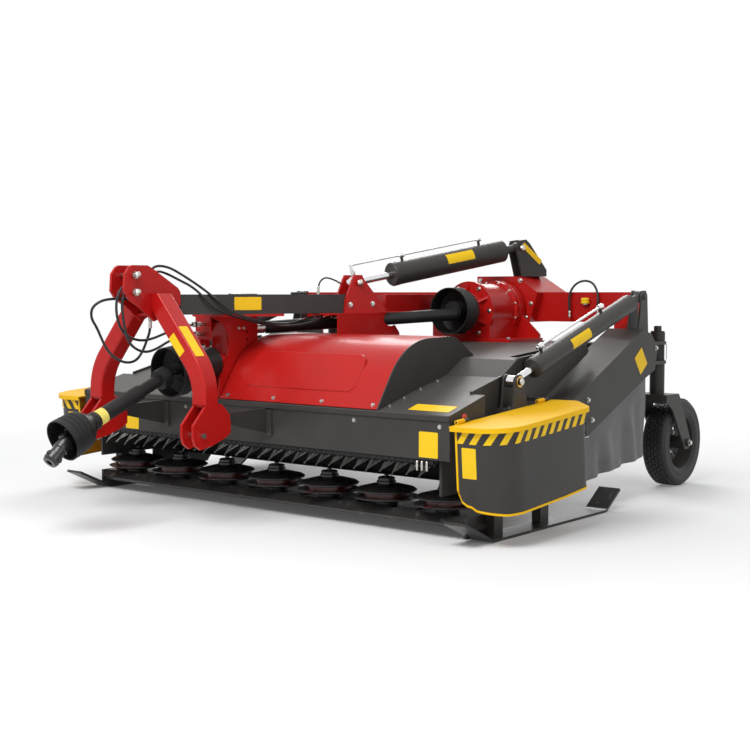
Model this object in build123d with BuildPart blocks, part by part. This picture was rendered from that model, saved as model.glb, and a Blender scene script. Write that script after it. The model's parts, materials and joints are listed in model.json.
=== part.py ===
"""Semi-mounted disc mower conditioner with a rear caster-wheel lift frame.

Millimetres, +Z up. The drawbar side faces -Y, the caster wheels are at +Y, and the origin lies on
the ground under the middle of the machine. Distances along the machine are measured from the line
of the cutting discs, which the three working planes below take care of.
"""

import os
from math import cos, pi, radians, sin, tan

from build123d import *

os.makedirs("parts", exist_ok=True)

# ---- overall layout ---------------------------------------------------------------------------
disc_line_y = -574  # the row of discs, from the origin
disc_count = 7
disc_pitch = 400
end_margin = 100  # from the last disc's axis to the end frame
frame_half = disc_pitch * (disc_count - 1) / 2 + end_margin  # middle of each end frame plate
frame_plate = 14
sheet = 6  # cover sheets
play = 0.3  # gap between pieces that turn or slide on each other
fit = 0.05  # radial play of a pin in its hole
end_x = frame_half - frame_plate / 2  # inner face of an end frame
out_x = frame_half + frame_plate / 2  # outer face of an end frame

# ---- discs and cutterbar ----------------------------------------------------------------------
disc_radius = 174
hat_radius = 163
drum_radius = 122
disc_bottom = 128
hub_top = 258
knife_reach = 196
bar_top = 118
bar_bottom = 52
bar_half = frame_half + 88

# ---- conditioner rotor ------------------------------------------------------------------------
rotor_y, rotor_z = 225, 445
rotor_tube = 62
rotor_tip = 165
rotor_shaft = 24
tine_rows = 4
tines_per_row = 26

# ---- covers -----------------------------------------------------------------------------------
cover_line = [(-250, 410), (-250, 634), (52, 717), (346, 786), (495, 873), (600, 881)]
cover_front_half = frame_half + 90
rear_deck_half = frame_half - 130
deck_rear_y = 1690
deck_z = 930
hood_left, hood_right = -200, 940
hood_line = [(-250, 640), (-20, 985), (420, 995), (600, 887)]
hood_bends = [400, 130]

# ---- hitch ------------------------------------------------------------------------------------
hitch_x = -250
lower_pin_spacing = 825
lower_pin = (-775, 500)
lower_pin_radius = 14
leg_y = -705
leg_size = 100
ear_plate = 16
ear_top = 655
top_pins = [(-868, 1323), (-868, 1233)]
top_pin_radius = 12.5
mast_gap = 90
mast_plate = 16

# ---- boom line: a vertical plane from the mast to the rear gusset -------------------------------
boom_start = (-250, -600)
boom_dir = (0.2973, 0.9548)
boom_width = 90
boom_z = (1112, 1222)
bracket_t, bracket_pin_z = 1204, 1290
gusset_t, gusset_pin_z = 2461, 1520

# ---- rear lift frame --------------------------------------------------------------------------
lift_y, lift_z = 950, 480
arm_in = rear_deck_half + 40
arm_out = arm_in + 240
arm_wall = 12
arm_line = [
    (795, 630),
    (1642, 1016),
    (1749, 979),
    (1825, 897),
    (1793, 767),
    (1660, 719),
    (1000, 440),
    (880, 415),
    (790, 500),
]
lift_pin_radius = 32
beam_y = (1740, 1860)
beam_z = (1050, 1235)
housing_x = (230, 630)
housing_y = (1672, 2030)
housing_z = (1045, 1337)

# ---- caster wheels ----------------------------------------------------------------------------
caster_x, caster_y = frame_half + 35, 2050
wheel_radius = 280
wheel_width = 160
tyre_room = 15  # from the tyre to a fork blade
trail = 220
spindle_radius = 30
sleeve_z = (615, 985)
rim_radius = 178

# ---- hydraulic cylinders ----------------------------------------------------------------------
pin_radius = 16
eye_radius = 36
eye_width = 44
side_barrel_radius, side_rod_radius = 54, 20
centre_barrel_radius, centre_rod_radius = 70, 22
side_cylinder_x = frame_half + 66
side_rod_pin = (345, 770)
side_barrel_pin = (1730, 1206)

# ---- power take-off shaft and guards ----------------------------------------------------------
cross_shaft_radius = 20
joint_pin_radius = 9
joint_y, joint_z = -560, 800
shaft_drop = 23  # degrees below level
yoke_drop = 42
yoke_bore = 17.5
yoke_stub_radius = 12
yoke_bore_depth = 80
front_joint = 735  # from the rear joint along the shaft
guard_hinge_x = cover_front_half + 25
guard_slope = 4.2
guard_front_y = -290
guard_hinge_z = 598

# ---- hydraulic hoses --------------------------------------------------------------------------
hose_radius = 7
small_hose_radius = 5
sleeve_radius = 11


# ---- working planes ---------------------------------------------------------------------------
def side(x):
    """Plane across the machine at x: local x runs rearwards from the disc line, local y is up."""
    return Plane(origin=(x, disc_line_y, 0), x_dir=(0, 1, 0), z_dir=(1, 0, 0))


def front(y):
    """Plane seen from the front: local x is the machine's x, local y is up."""
    return Plane(origin=(0, disc_line_y + y, 0), x_dir=(1, 0, 0), z_dir=(0, -1, 0))


def top(z):
    """Plane seen from above: local x is the machine's x, local y runs rearwards."""
    return Plane(origin=(0, disc_line_y, z), x_dir=(1, 0, 0), z_dir=(0, 0, 1))


def boom_side(offset):
    """Vertical plane through the boom line, moved sideways: local x runs along the boom."""
    ux, uy = boom_dir
    start = (boom_start[0] + offset * uy, disc_line_y + boom_start[1] - offset * ux, 0)
    return Plane(origin=start, x_dir=(ux, uy, 0), z_dir=(uy, -ux, 0))


def boom_point(t, z):
    """A point on the boom line, t along it from its start."""
    return at(boom_start[0] + t * boom_dir[0], boom_start[1] + t * boom_dir[1], z)


def at(x, y, z):
    """A point given by its distance behind the disc line."""
    return Vector(x, disc_line_y + y, z)


# ---- forms that many pieces share -------------------------------------------------------------
def plate(plane, outline, thickness, corner=0, holes=(), mode=Mode.ADD):
    """A flat plate centred on a plane, with rounded corners and (x, y, radius) holes."""
    with BuildSketch(plane) as profile:
        with BuildLine():
            Polyline(*outline, close=True)
        make_face()
        if corner:
            fillet(profile.vertices(), corner)
        for x, y, radius in holes:
            with Locations((x, y)):
                Circle(radius, mode=Mode.SUBTRACT)
    extrude(profile.sketch, amount=thickness / 2, both=True, mode=mode)


def bent_sheet(plane, line, thickness, width):
    """Sheet folded along an open line, its wall on the right-hand side of the line."""
    with BuildSketch(plane) as profile:
        with BuildLine():
            Polyline(*line)
            offset(amount=thickness, side=Side.RIGHT)
        make_face()
    extrude(profile.sketch, amount=width / 2, both=True)


def turned(origin, direction, outline, mode=Mode.ADD):
    """A turned form: outline of (radius, distance) points round the axis through origin."""
    across = Vector(1, 0, 0) if abs(direction.X) < 0.9 else Vector(0, 1, 0)
    across = (across - direction * across.dot(direction)).normalized()
    plane = Plane(origin=origin, x_dir=across, z_dir=across.cross(direction))
    with BuildSketch(plane) as profile:
        with BuildLine():
            Polyline(*outline, close=True)
        make_face()
    revolve(profile.sketch, axis=Axis(origin, direction), mode=mode)


def bar(start, end, radius, mode=Mode.ADD):
    """A round bar between two points."""
    run = end - start
    turned(start, run.normalized(), [(0, 0), (radius, 0), (radius, run.length), (0, run.length)], mode)


def block(x, y, z, mode=Mode.ADD):
    """A box from three (low, high) pairs, y measured from the disc line."""
    with Locations(at(sum(x) / 2, sum(y) / 2, sum(z) / 2)):
        Box(x[1] - x[0], y[1] - y[0], z[1] - z[0], mode=mode)


def save(piece, label):
    piece.part.label = label
    export_step(piece.part, f"parts/{label}.step")


sides = (("right", 1), ("left", -1))
disc_x = [disc_pitch * (i - (disc_count - 1) / 2) for i in range(disc_count)]

# ---- cutterbar --------------------------------------------------------------------------------
with BuildPart() as cutterbar:
    bar_line = [(-135, 80), (-100, 56), (150, bar_bottom), (190, 66), (190, 100), (150, bar_top), (-95, bar_top)]
    plate(side(0), bar_line, 2 * bar_half)
    for x in disc_x:
        bar(at(x, 0, bar_top), at(x, 0, disc_bottom - play), 62)
    for x in disc_x[:-1]:
        plate(top(bar_top + 2), [(x + 150, -70), (x + 250, -70), (x + 250, 120), (x + 150, 120)], 4, 12)
save(cutterbar, "cutterbar")

# ---- discs ------------------------------------------------------------------------------------
disc_outline = [
    (0, disc_bottom),
    (64, disc_bottom),
    (disc_radius - 8, 149),
    (disc_radius, 153),
    (disc_radius, 157),
    (drum_radius, 158),
    (drum_radius, 182),
    (hat_radius - 6, 184),
    (hat_radius, 188),
    (hat_radius, 193),
    (hat_radius - 12, 201),
    (96, 215),
    (70, 221),
    (52, 224),
    (52, 236),
    (46, 240),
    (46, hub_top - 5),
    (40, hub_top),
    (22, hub_top),
    (20, hub_top - 8),
    (0, hub_top - 8),
]
for number, x in enumerate(disc_x, 1):
    turn = 90 * (number % 2)
    with BuildPart() as disc:
        turned(at(x, 0, 0), Vector(0, 0, 1), disc_outline)
        for half in (0, 180):
            blade = Plane(origin=at(x, 0, 157.5), x_dir=Vector(1, 0, 0).rotate(Axis.Z, turn + half), z_dir=(0, 0, 1))
            plate(blade, [(128, -22), (180, -22), (knife_reach - 2, -12), (knife_reach - 2, 22), (128, 22)], 4)
    save(disc, f"disc_{number}")

# ---- conditioner rotor ------------------------------------------------------------------------
with BuildPart() as rotor:
    bar(at(-end_x + 12, rotor_y, rotor_z), at(end_x - 12, rotor_y, rotor_z), rotor_tube)
    bar(at(-frame_half - 20, rotor_y, rotor_z), at(frame_half + 20, rotor_y, rotor_z), rotor_shaft)
    tine_step = 2 * (end_x - 60) / (tines_per_row - 1)
    for row in range(tine_rows):
        for i in range(tines_per_row):
            x = -end_x + 60 + i * tine_step
            spoke = Vector(0, 0, -1).rotate(Axis.X, 360 / tine_rows * row + 8 * (i % 3 - 1))
            foot = at(x, rotor_y, rotor_z)
            tine = Plane(origin=foot, x_dir=(1, 0, 0), z_dir=Vector(1, 0, 0).cross(spoke))
            plate(tine, [(-16, rotor_tube - 6), (16, rotor_tube - 6), (7, rotor_tip), (-7, rotor_tip)], 12)
save(rotor, "conditioner_rotor")

# ---- end frames: carry the covers, the rotor and the skid struts -------------------------------
frame_line = [
    (-200, 225),
    (215, 225),
    (215, 70 + bar_top),
    (300, 100),
    (690, 100),
    (760, 180),
    (760, 655),
    (1190, 862),
    (1240, 890),
    (1220, 935),
    (600, 893),
    (488, 884),
    (340, 798),
    (58, 731),
    (58, 400),
    (-200, 400),
]
with BuildPart() as end_frames:
    for name, s in sides:
        bearing = (rotor_y, rotor_z, rotor_shaft + fit)
        plate(side(s * frame_half), frame_line, frame_plate, holes=[bearing])
        # the foot that carries the lugs of the side cylinder
        block(sorted((s * out_x, s * (side_cylinder_x + 41))), (282, 430), (560, 632))
save(end_frames, "end_frames")

# ---- front cover and rear deck ----------------------------------------------------------------
with BuildPart() as front_cover:
    bent_sheet(side(0), cover_line, sheet, 2 * end_x)
    bent_sheet(side(0), cover_line[:3], sheet, 2 * cover_front_half)
    corner_box = [(-250, 410), (52, 410), (52, 717), (-250, 634)]
    for name, s in sides:
        plate(side(s * (cover_front_half - sheet / 2)), corner_box, sheet)
        block(sorted((s * end_x, s * cover_front_half)), (46, 52), (410, 712))
    block((-cover_front_half, cover_front_half), (-250, -215), (410, 416))
    # the folded lip along the top of the front face
    lip = [(-258, 606), (-250, 600), (-250, 632), (-254, 634), (-258, 630)]
    plate(side(0), lip, 2 * cover_front_half)
save(front_cover, "front_cover")

with BuildPart() as rear_deck:
    bent_sheet(side(0), [(601, 881), (1200, deck_z), (deck_rear_y, deck_z)], sheet, 2 * rear_deck_half)
    for name, s in sides:
        wall = [(601, 881), (1200, deck_z), (deck_rear_y, deck_z), (deck_rear_y, 700), (1300, 380), (601, 380)]
        plate(side(s * (rear_deck_half - sheet / 2)), wall, sheet)
        block(sorted((s * (rear_deck_half - sheet), s * end_x)), (600, 606), (380, 868))
    block((-rear_deck_half, rear_deck_half), (deck_rear_y - sheet, deck_rear_y), (860, deck_z))
save(rear_deck, "rear_deck")

# ---- lift frame pivots ------------------------------------------------------------------------
with BuildPart() as lift_pivots:
    for name, s in sides:
        pad = [(830, 385), (1070, 385), (1070, 560), (960, 600), (830, 600)]
        plate(side(s * (rear_deck_half + 10)), pad, 20, 20)
        bar(at(s * (rear_deck_half + 20), lift_y, lift_z), at(s * (arm_in - play), lift_y, lift_z), 55)
        bar(at(s * (rear_deck_half + 20), lift_y, lift_z), at(s * (arm_out + 22), lift_y, lift_z), lift_pin_radius)
        bar(at(s * (arm_out + play), lift_y, lift_z), at(s * (arm_out + 12), lift_y, lift_z), 48)
save(lift_pivots, "lift_pivots")

# ---- hood -------------------------------------------------------------------------------------
hood_mid = (hood_left + hood_right) / 2


def hood_sheet(plane, thickness, length, mode=Mode.ADD):
    with BuildSketch(plane) as profile:
        with BuildLine():
            FilletPolyline(*hood_line, radius=hood_bends)
            offset(amount=thickness, side=Side.RIGHT)
        make_face()
    extrude(profile.sketch, amount=length / 2, both=True, mode=mode)


def hood_filled(plane, length, mode=Mode.ADD):
    with BuildSketch(plane) as profile:
        with BuildLine():
            FilletPolyline(*hood_line, radius=hood_bends)
            Polyline(hood_line[-1], (600, 881), (495, 873), (346, 786), (52, 717), (-250, 634), hood_line[0])
        make_face()
    extrude(profile.sketch, amount=length / 2, both=True, mode=mode)


panel_x, panel_z = (-60, 740), (712, 905)
panel_rise = 6
with BuildPart() as hood:
    hood_sheet(side(hood_mid - 4), 5, hood_right - hood_left - 8)
    hood_filled(side(hood_left + 3), 6)
    # the raised blank panel pressed into the front of the hood
    foot, brow = Vector(0, *hood_line[0]), Vector(0, *hood_line[1])
    slope = (brow - foot).normalized()
    panel_plane = Plane(origin=at((panel_x[0] + panel_x[1]) / 2, foot.Y, foot.Z), x_dir=(1, 0, 0), z_dir=Vector(1, 0, 0).cross(slope))
    low, high = ((z - foot.Z) / slope.Z for z in panel_z)
    with BuildSketch(panel_plane) as panel:
        with Locations((0, (low + high) / 2)):
            Rectangle(panel_x[1] - panel_x[0], high - low)
        fillet(panel.vertices(), 55)
    extrude(panel.sketch, amount=panel_rise, taper=35)
save(hood, "hood")

with BuildPart() as hood_side_plate:
    hood_filled(side(hood_right - 4), 8)
save(hood_side_plate, "hood_side_plate")

# ---- skids and their struts -------------------------------------------------------------------
skid_in, skid_out = bar_half, bar_half + 134
strut_x = (bar_half + 16, bar_half + 70)
with BuildPart() as skids:
    for name, s in sides:
        sole = [(-300, 112), (-60, 0), (1080, 0), (1240, 105)]
        with BuildSketch(side(s * (skid_in + skid_out) / 2)) as profile:
            with BuildLine():
                FilletPolyline(*sole, radius=60)
                offset(amount=14, side=Side.LEFT)
            make_face()
        extrude(profile.sketch, amount=(skid_out - skid_in) / 2, both=True)
        # the shoe that bolts to the end of the cutterbar
        block(sorted((s * bar_half, s * (bar_half + 16))), (-120, 180), (12, bar_top))
        for y in (40, 480):
            block(sorted((s * strut_x[0], s * strut_x[1])), (y, y + 80), (14, 262))
            block(sorted((s * out_x, s * strut_x[1])), (y, y + 80), (228, 262))
save(skids, "skids")

# ---- hitch ------------------------------------------------------------------------------------
ear_line = [
    (-742, ear_top),
    (-638, ear_top),
    (-600, 622),
    (-571, 560),
    (-571, 500),
    (-610, 475),
    (-706, 442),
    (-786, 427),
    (-823, 453),
    (-835, 490),
    (-835, 554),
]
mast_line = [
    (-901, 1366),
    (-880, 1375),
    (-776, 1375),
    (-733, 1354),
    (-566, 1258),
    (-548, 1236),
    (-548, 1165),
    (-733, 1079),
    (-839, 1157),
    (-907, 1199),
    (-937, 1240),
    (-930, 1330),
]
mast_outer = mast_gap / 2 + mast_plate
with BuildPart() as hitch_frame:
    for name, s in sides:
        pin_x = hitch_x + s * lower_pin_spacing / 2
        with BuildLine(front(leg_y)) as leg_path:
            FilletPolyline((pin_x, ear_top), (pin_x, 800), (hitch_x, 1282), radius=290)
        with BuildSketch(Plane(origin=leg_path.line @ 0, x_dir=(1, 0, 0), z_dir=(0, 0, 1))):
            RectangleRounded(leg_size, leg_size, 12)
        sweep()
    block((hitch_x - 300, hitch_x + 300), (leg_y - 60, leg_y + 60), (1228, 1400), Mode.SUBTRACT)
    block((hitch_x - mast_outer, hitch_x + mast_outer), (leg_y - 60, leg_y + 60), (1000, 1400), Mode.SUBTRACT)
    for name, s in sides:
        pin_x = hitch_x + s * lower_pin_spacing / 2
        for ear in (-1, 1):
            ear_plane = side(pin_x + ear * (leg_size - ear_plate) / 2)
            plate(ear_plane, ear_line, ear_plate, holes=[(*lower_pin, lower_pin_radius + fit)])
        block((pin_x - leg_size / 2, pin_x + leg_size / 2), (-742, -655), (ear_top - 14, ear_top))
        block((pin_x - leg_size / 2, pin_x + leg_size / 2), (-590, -576), (508, 600))
        holes = [(y, z, top_pin_radius + fit) for y, z in top_pins]
        plate(side(hitch_x + s * (mast_gap + mast_plate) / 2), mast_line, mast_plate, holes=holes)
    block((hitch_x - mast_outer, hitch_x + mast_outer), (-562, -548), (1165, 1236))
    block((hitch_x - mast_outer, hitch_x + mast_outer), (-760, -650), (1108, 1122))
save(hitch_frame, "hitch_frame")

with BuildPart() as hitch_pins:
    for name, s in sides:
        pin_x = hitch_x + s * lower_pin_spacing / 2
        y, z = lower_pin
        bar(at(pin_x - 78, y, z), at(pin_x + 66, y, z), lower_pin_radius)
        bar(at(pin_x - 62, y, z), at(pin_x - leg_size / 2 - play, y, z), 22)
    for y, z in top_pins:
        bar(at(hitch_x - 78, y, z), at(hitch_x + 84, y, z), top_pin_radius)
        bar(at(hitch_x + mast_outer + play, y, z), at(hitch_x + mast_outer + 10, y, z), 19)
save(hitch_pins, "hitch_pins")

# brackets that tie the lower ears to the front cover
with BuildPart() as hitch_brackets:
    for name, s in sides:
        pin_x = hitch_x + s * lower_pin_spacing / 2
        web = [(-576, 545), (-576, 598), (-262, 606), (-262, 470)]
        plate(side(pin_x), web, 14)
        block((pin_x - 46, pin_x + 46), (-262, -250), (455, 596))
save(hitch_brackets, "hitch_brackets")

# ---- boom, pylon and the bracket that carries the centre cylinder --------------------------------
half_boom = boom_width / 2
boom_end_t = bracket_t + 20
with BuildPart() as boom:
    ux, uy = boom_dir
    start_y = -548
    reach = (start_y - boom_start[1]) / uy
    slant = half_boom / uy
    with BuildSketch(top(boom_z[0])) as plan:
        with BuildLine():
            x0 = boom_start[0] + reach * ux
            end = (boom_start[0] + boom_end_t * ux, boom_start[1] + boom_end_t * uy)
            Polyline(
                (x0 - slant, start_y),
                (x0 + slant, start_y),
                (end[0] + half_boom * uy, end[1] - half_boom * ux),
                (end[0] - half_boom * uy, end[1] + half_boom * ux),
                close=True,
            )
        make_face()
    extrude(plan.sketch, amount=boom_z[1] - boom_z[0])
save(boom, "boom")

pylon_x = (-345, -214)
pylon_plate = 12
pylon_top = boom_z[0] - 14
coupler_y = (-300, -292)
pylon_line = [
    (-300, pylon_top),
    (-213, 1060),
    (-169, 1009),
    (-162, 943),
    (-185, 858),
    (-239, 752),
    (-247, 660),
    (-238, 637.5),
    (65, 721),
    (65, pylon_top),
]
with BuildPart() as pylon:
    for x in pylon_x:
        holes = [(-20, 1010, 9), (-20, 965, 9), (-20, 920, 9)]
        plate(side(x), pylon_line, pylon_plate, holes=holes)
    saddle = [(pylon_x[0] - 20, -300), (-110, -300), (4, 65), (pylon_x[0] - 20, 65)]
    plate(top((pylon_top + boom_z[0]) / 2), saddle, boom_z[0] - pylon_top)
    block((pylon_x[0] + 6, pylon_x[1] - 6), coupler_y, (970, pylon_top))
    plate(side(pylon_x[0] - 10), [(-255, 985), (-180, 985), (-180, 860), (-255, 860)], 8, 20, [(-228, 925, 18)])
save(pylon, "pylon")

bracket_outer = half_boom + 16
with BuildPart() as cylinder_bracket:
    for s in (-1, 1):
        face = [
            (bracket_t - 95, boom_z[0]),
            (bracket_t - 88, 1190),
            (bracket_t - 40, 1310),
            (bracket_t - 26, 1336),
            (bracket_t + 26, 1336),
            (bracket_t + 40, 1310),
            (bracket_t + 190, 1140),
            (bracket_t + 205, boom_z[0]),
        ]
        plate(boom_side(s * (half_boom + 8)), face, 16)
    bar(boom_point(bracket_t, bracket_pin_z) + boom_side(0).z_dir * -(bracket_outer + 14),
        boom_point(bracket_t, bracket_pin_z) + boom_side(0).z_dir * (bracket_outer + 14), pin_radius)
    rear_face = [(bracket_t + 193, boom_z[0]), (bracket_t + 205, boom_z[0]), (bracket_t + 205, 1125), (bracket_t + 193, 1138)]
    plate(boom_side(0), rear_face, boom_width)
save(cylinder_bracket, "cylinder_bracket")

shaft_start = at(-262, 60, 1025)
shaft_end = at(420, 1100, 1098)
shaft_dir = (shaft_end - shaft_start).normalized()
shield_x = (10, 212)
shield_y = (290, 860)
with BuildPart() as shield:
    block(shield_x, shield_y, (boom_z[0] - 8, boom_z[0]))
    for x, y in zip(shield_x, (560, shield_y[0])):
        face = [(y, boom_z[0] - 4), (shield_y[1] - 110, boom_z[0] - 4), (shield_y[1], 990), (shield_y[1], 874), (y, 874)]
        plate(side(x), face, 8)
    bar(shaft_start, shaft_end, 44, Mode.SUBTRACT)
    hood_filled(side(hood_mid), hood_right - hood_left + 20, mode=Mode.SUBTRACT)
    with BuildSketch(side(hood_mid)) as below:
        with BuildLine():
            Polyline((0, 700), (52, 717), (346, 786), (495, 873), (600, 888), (1200, deck_z), (1200, 700), close=True)
        make_face()
    extrude(below.sketch, amount=500, both=True, mode=Mode.SUBTRACT)
save(shield, "shield")

strut_rear_y = 1510
with BuildPart() as rear_strut:
    near = bracket_t + 205
    with BuildSketch(top(boom_z[0] + 8)) as plan:
        with BuildLine():
            mid = (boom_start[0] + near * ux, boom_start[1] + near * uy)
            Polyline(
                (mid[0] - half_boom * uy, mid[1] + half_boom * ux),
                (mid[0] + half_boom * uy, mid[1] - half_boom * ux),
                (160, strut_rear_y),
                (70, strut_rear_y),
                close=True,
            )
        make_face()
    extrude(plan.sketch, amount=100)
    block((70, 160), (strut_rear_y - 110, strut_rear_y), (deck_z, boom_z[0] + 8))
    block((40, 190), (strut_rear_y - 140, strut_rear_y + 20), (deck_z, deck_z + 12))
save(rear_strut, "rear_strut")

# ---- driveline guards -------------------------------------------------------------------------
with BuildPart() as cross_shaft_guard:
    bar(shaft_start + shaft_dir * 90, shaft_end + shaft_dir * 40, 37)
    bell = [(0, 110), (60, 110), (120, 96), (136, 90), (136, -10)]
    for step in range(6):
        bell += [(143, 18 * step - 12), (143, 18 * step - 4), (140, 18 * step), (140, 18 * step + 4)]
    bell += [(128, 132), (0, 132)]
    turned(at(420, 1100, 1120), Vector(0, 1, 0), bell)
    bar(at(420, 1126, 1116), at(420, 1212, 1120), 62)
    bar(shaft_start, shaft_end, 27, Mode.SUBTRACT)
    bar(shaft_start, shaft_end + shaft_dir * 24, cross_shaft_radius + fit, Mode.SUBTRACT)
save(cross_shaft_guard, "cross_shaft_guard")

with BuildPart() as cross_shaft:
    bar(shaft_start - shaft_dir * 30, shaft_end + shaft_dir * 16, cross_shaft_radius)
    bar(shaft_start + shaft_dir * 30, shaft_start + shaft_dir * 80, 33)
save(cross_shaft, "cross_shaft")

input_axis = Vector(0, cos(radians(8)), sin(radians(8)))
input_centre = at(hitch_x, -540, 804)
with BuildPart() as input_guard:
    bell = [(132, -50)]
    for step in range(5):
        bell += [(139, 18 * step - 50), (139, 18 * step - 42), (136, 18 * step - 38), (136, 18 * step - 34)]
    bell += [(84, 130), (84, 285), (0, 285), (0, 60), (80, 60), (132, 36)]
    turned(input_centre, input_axis, bell)
    bar(input_centre + input_axis * 22, input_centre + input_axis * 62, 42)
    for ear in (-1, 1):
        ear_line = [(joint_y + 70, joint_z + 22), (joint_y + 70, joint_z - 6), (joint_y + 8, joint_z - 15), (joint_y - 8, joint_z - 15), (joint_y - 16, joint_z), (joint_y - 8, joint_z + 15)]
        plate(side(hitch_x + ear * 33), ear_line, 10, holes=[(joint_y, joint_z, joint_pin_radius + fit)])
save(input_guard, "input_guard")

with BuildPart() as input_gearbox:
    inner = (pylon_x[0] + pylon_plate / 2, pylon_x[1] - pylon_plate / 2)
    block(inner, (-170, 56), (780, 1062))
    bar(input_centre + input_axis * 285, input_centre + input_axis * 400, 32)
    bar(shaft_start - shaft_dir * 60, shaft_start + shaft_dir * 24, 32)
    bar(shaft_start - shaft_dir * 34, shaft_end, cross_shaft_radius + fit, Mode.SUBTRACT)
    for x in pylon_x:
        plate(side(x), pylon_line, pylon_plate, mode=Mode.SUBTRACT)
save(input_gearbox, "input_gearbox")

# ---- main gearbox on the rear deck ------------------------------------------------------------
gear_axis = at(420, 1232, 1120)
with BuildPart() as gearbox:
    rings = [
        (0, 0),
        (96, 0),
        (96, 26),
        (112, 34),
        (112, 62),
        (182, 66),
        (182, 92),
        (164, 96),
        (168, 330),
        (186, 334),
        (186, 366),
        (178, 368),
        (188, 372),
        (188, 423),
        (0, 423),
    ]
    turned(gear_axis, Vector(0, 1, 0), rings)
    block((262, 578), (1300, 1640), (deck_z + 18, 1120))
    block((222, 742), (1270, 1655), (deck_z, deck_z + 18))
    for rib in (30, 90, 150, 210, 270, 330):
        arm = Vector(1, 0, 0).rotate(Axis.Y, rib)
        rib_plane = Plane(origin=gear_axis, x_dir=arm, z_dir=arm.cross(Vector(0, 1, 0)))
        plate(rib_plane, [(90, 20), (112, 20), (176, 70), (90, 70)], 14)
    gusset_line = [(150, -172), (316, -172), (316, -150), (186, -30), (150, -30)]
    plate(Plane(origin=at(420, 1628, 1120), x_dir=(1, 0, 0), z_dir=(0, -1, 0)), gusset_line, 22)
save(gearbox, "gearbox")

# ---- side cylinder lugs and guard hinges ------------------------------------------------------
tilt = radians(guard_slope)
guard_run = Vector(0, cos(tilt), sin(tilt))
guard_normal = Vector(0, -sin(tilt), cos(tilt))
hinge_runs = (60, 800)
hinge_pin_radius = 5
lug_gap = 58
lug_plate = 12
lug_line = [(288, 632), (424, 632), (414, 690), (382, 788), (366, 803), (345, 808), (324, 803), (308, 788), (300, 700)]
with BuildPart() as guard_hinges:
    for name, s in sides:
        for ear in (-1, 1):
            plate(side(s * side_cylinder_x + ear * (lug_gap + lug_plate) / 2), lug_line, lug_plate)
        y, z = side_rod_pin
        bar(at(s * side_cylinder_x - 56, y, z), at(s * side_cylinder_x + 56, y, z), pin_radius)
        for ear in (-1, 1):
            collar = at(s * side_cylinder_x + ear * (lug_gap / 2), y, z)
            bar(collar, collar - Vector(ear * (lug_gap - eye_width - 2) / 2, 0, 0), pin_radius + 8)
    # the fixed halves of the side guards' hinges, each with its pin
    for name, s in sides:
        hinge = at(s * guard_hinge_x, guard_front_y, guard_hinge_z)
        for run, root_x in zip(hinge_runs, (cover_front_half, out_x)):
            start = hinge + guard_run * (run + 61)
            bar(start, start + guard_run * 40, 9)
            bar(start - guard_run * 64, start, hinge_pin_radius)
            foot = start + guard_run * 20
            arm = Plane(origin=((foot.X + s * root_x) / 2, foot.Y, foot.Z), x_dir=(1, 0, 0), z_dir=guard_normal)
            with Locations(arm):
                Box(abs(foot.X) - root_x, 38, 16)
save(guard_hinges, "guard_hinges")


# ---- rear lift frame --------------------------------------------------------------------------
def arm_filled(s, mode):
    plate(side(s * (arm_in + arm_out) / 2), arm_line, arm_out - arm_in, mode=mode)


pocket_line = [
    (808, 622),
    (1641, 1002),
    (1741, 968),
    (1813, 893),
    (1783, 776),
    (1700, 690),
    (1040, 400),
    (900, 370),
    (802, 500),
]
with BuildPart() as side_arms:
    for name, s in sides:
        arm_filled(s, Mode.ADD)
        middle = side(s * (arm_in + arm_out) / 2)
        plate(middle, pocket_line, arm_out - arm_in - 2 * arm_wall, mode=Mode.SUBTRACT)
        inner = s * (arm_in + arm_wall)
        bar(at(inner, lift_y, lift_z), at(s * (arm_out - arm_wall), lift_y, lift_z), 48)
        bar(at(s * (arm_in - 5), lift_y, lift_z), at(s * (arm_out + 5), lift_y, lift_z), lift_pin_radius + fit, Mode.SUBTRACT)
save(side_arms, "side_arms")

with BuildPart() as side_curtains:
    curtain = [(910, 167), (910, 395), (1030, 395), (1030, 470), (1690, 742), (1700, 250)]
    for name, s in sides:
        plate(side(s * (arm_out - arm_wall - 3.5)), curtain, 6)
save(side_curtains, "side_curtains")

gusset_gap = 60
gusset_plate = 14
upright_gap = 54
upright_plate = 12
arch_ends = [(900, 1712, 1075), (1098, 1712, 1085)]  # where the rear hose stands on the beam's elbows
beam_half = side_cylinder_x - upright_gap / 2 - upright_plate
with BuildPart() as cylinder_mounts:
    for name, s in sides:
        for ear in (-1, 1):
            y, z = side_barrel_pin
            face = [(1650, 960), (1790, 925), (y + 38, z + 10), (y + 18, z + 38), (y - 18, z + 38), (y - 36, z + 8), (y - 36, z - 20)]
            plate(side(s * side_cylinder_x + ear * (upright_gap + upright_plate) / 2), face, upright_plate)
        bar(at(s * beam_half, y, z), at(s * (side_cylinder_x + 50), y, z), pin_radius)
        arm_filled(s, Mode.SUBTRACT)
    # the gusset on the beam's housing that carries the centre cylinder
    face = [
        (2475, housing_z[1]),
        (2680, housing_z[1]),
        (2680, 1380),
        (2535, 1550),
        (2505, 1574),
        (2440, 1566),
        (2425, 1520),
        (2432, 1490),
    ]
    for s in (-1, 1):
        plate(boom_side(s * (gusset_gap + gusset_plate) / 2), face, gusset_plate)
    pin = boom_point(gusset_t, gusset_pin_z)
    bar(pin - boom_side(0).z_dir * 56, pin + boom_side(0).z_dir * 56, pin_radius)
    plate(boom_side(0), [(2560, housing_z[1]), (2680, housing_z[1]), (2680, 1375), (2600, 1440)], gusset_gap)
save(cylinder_mounts, "cylinder_mounts")

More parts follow.
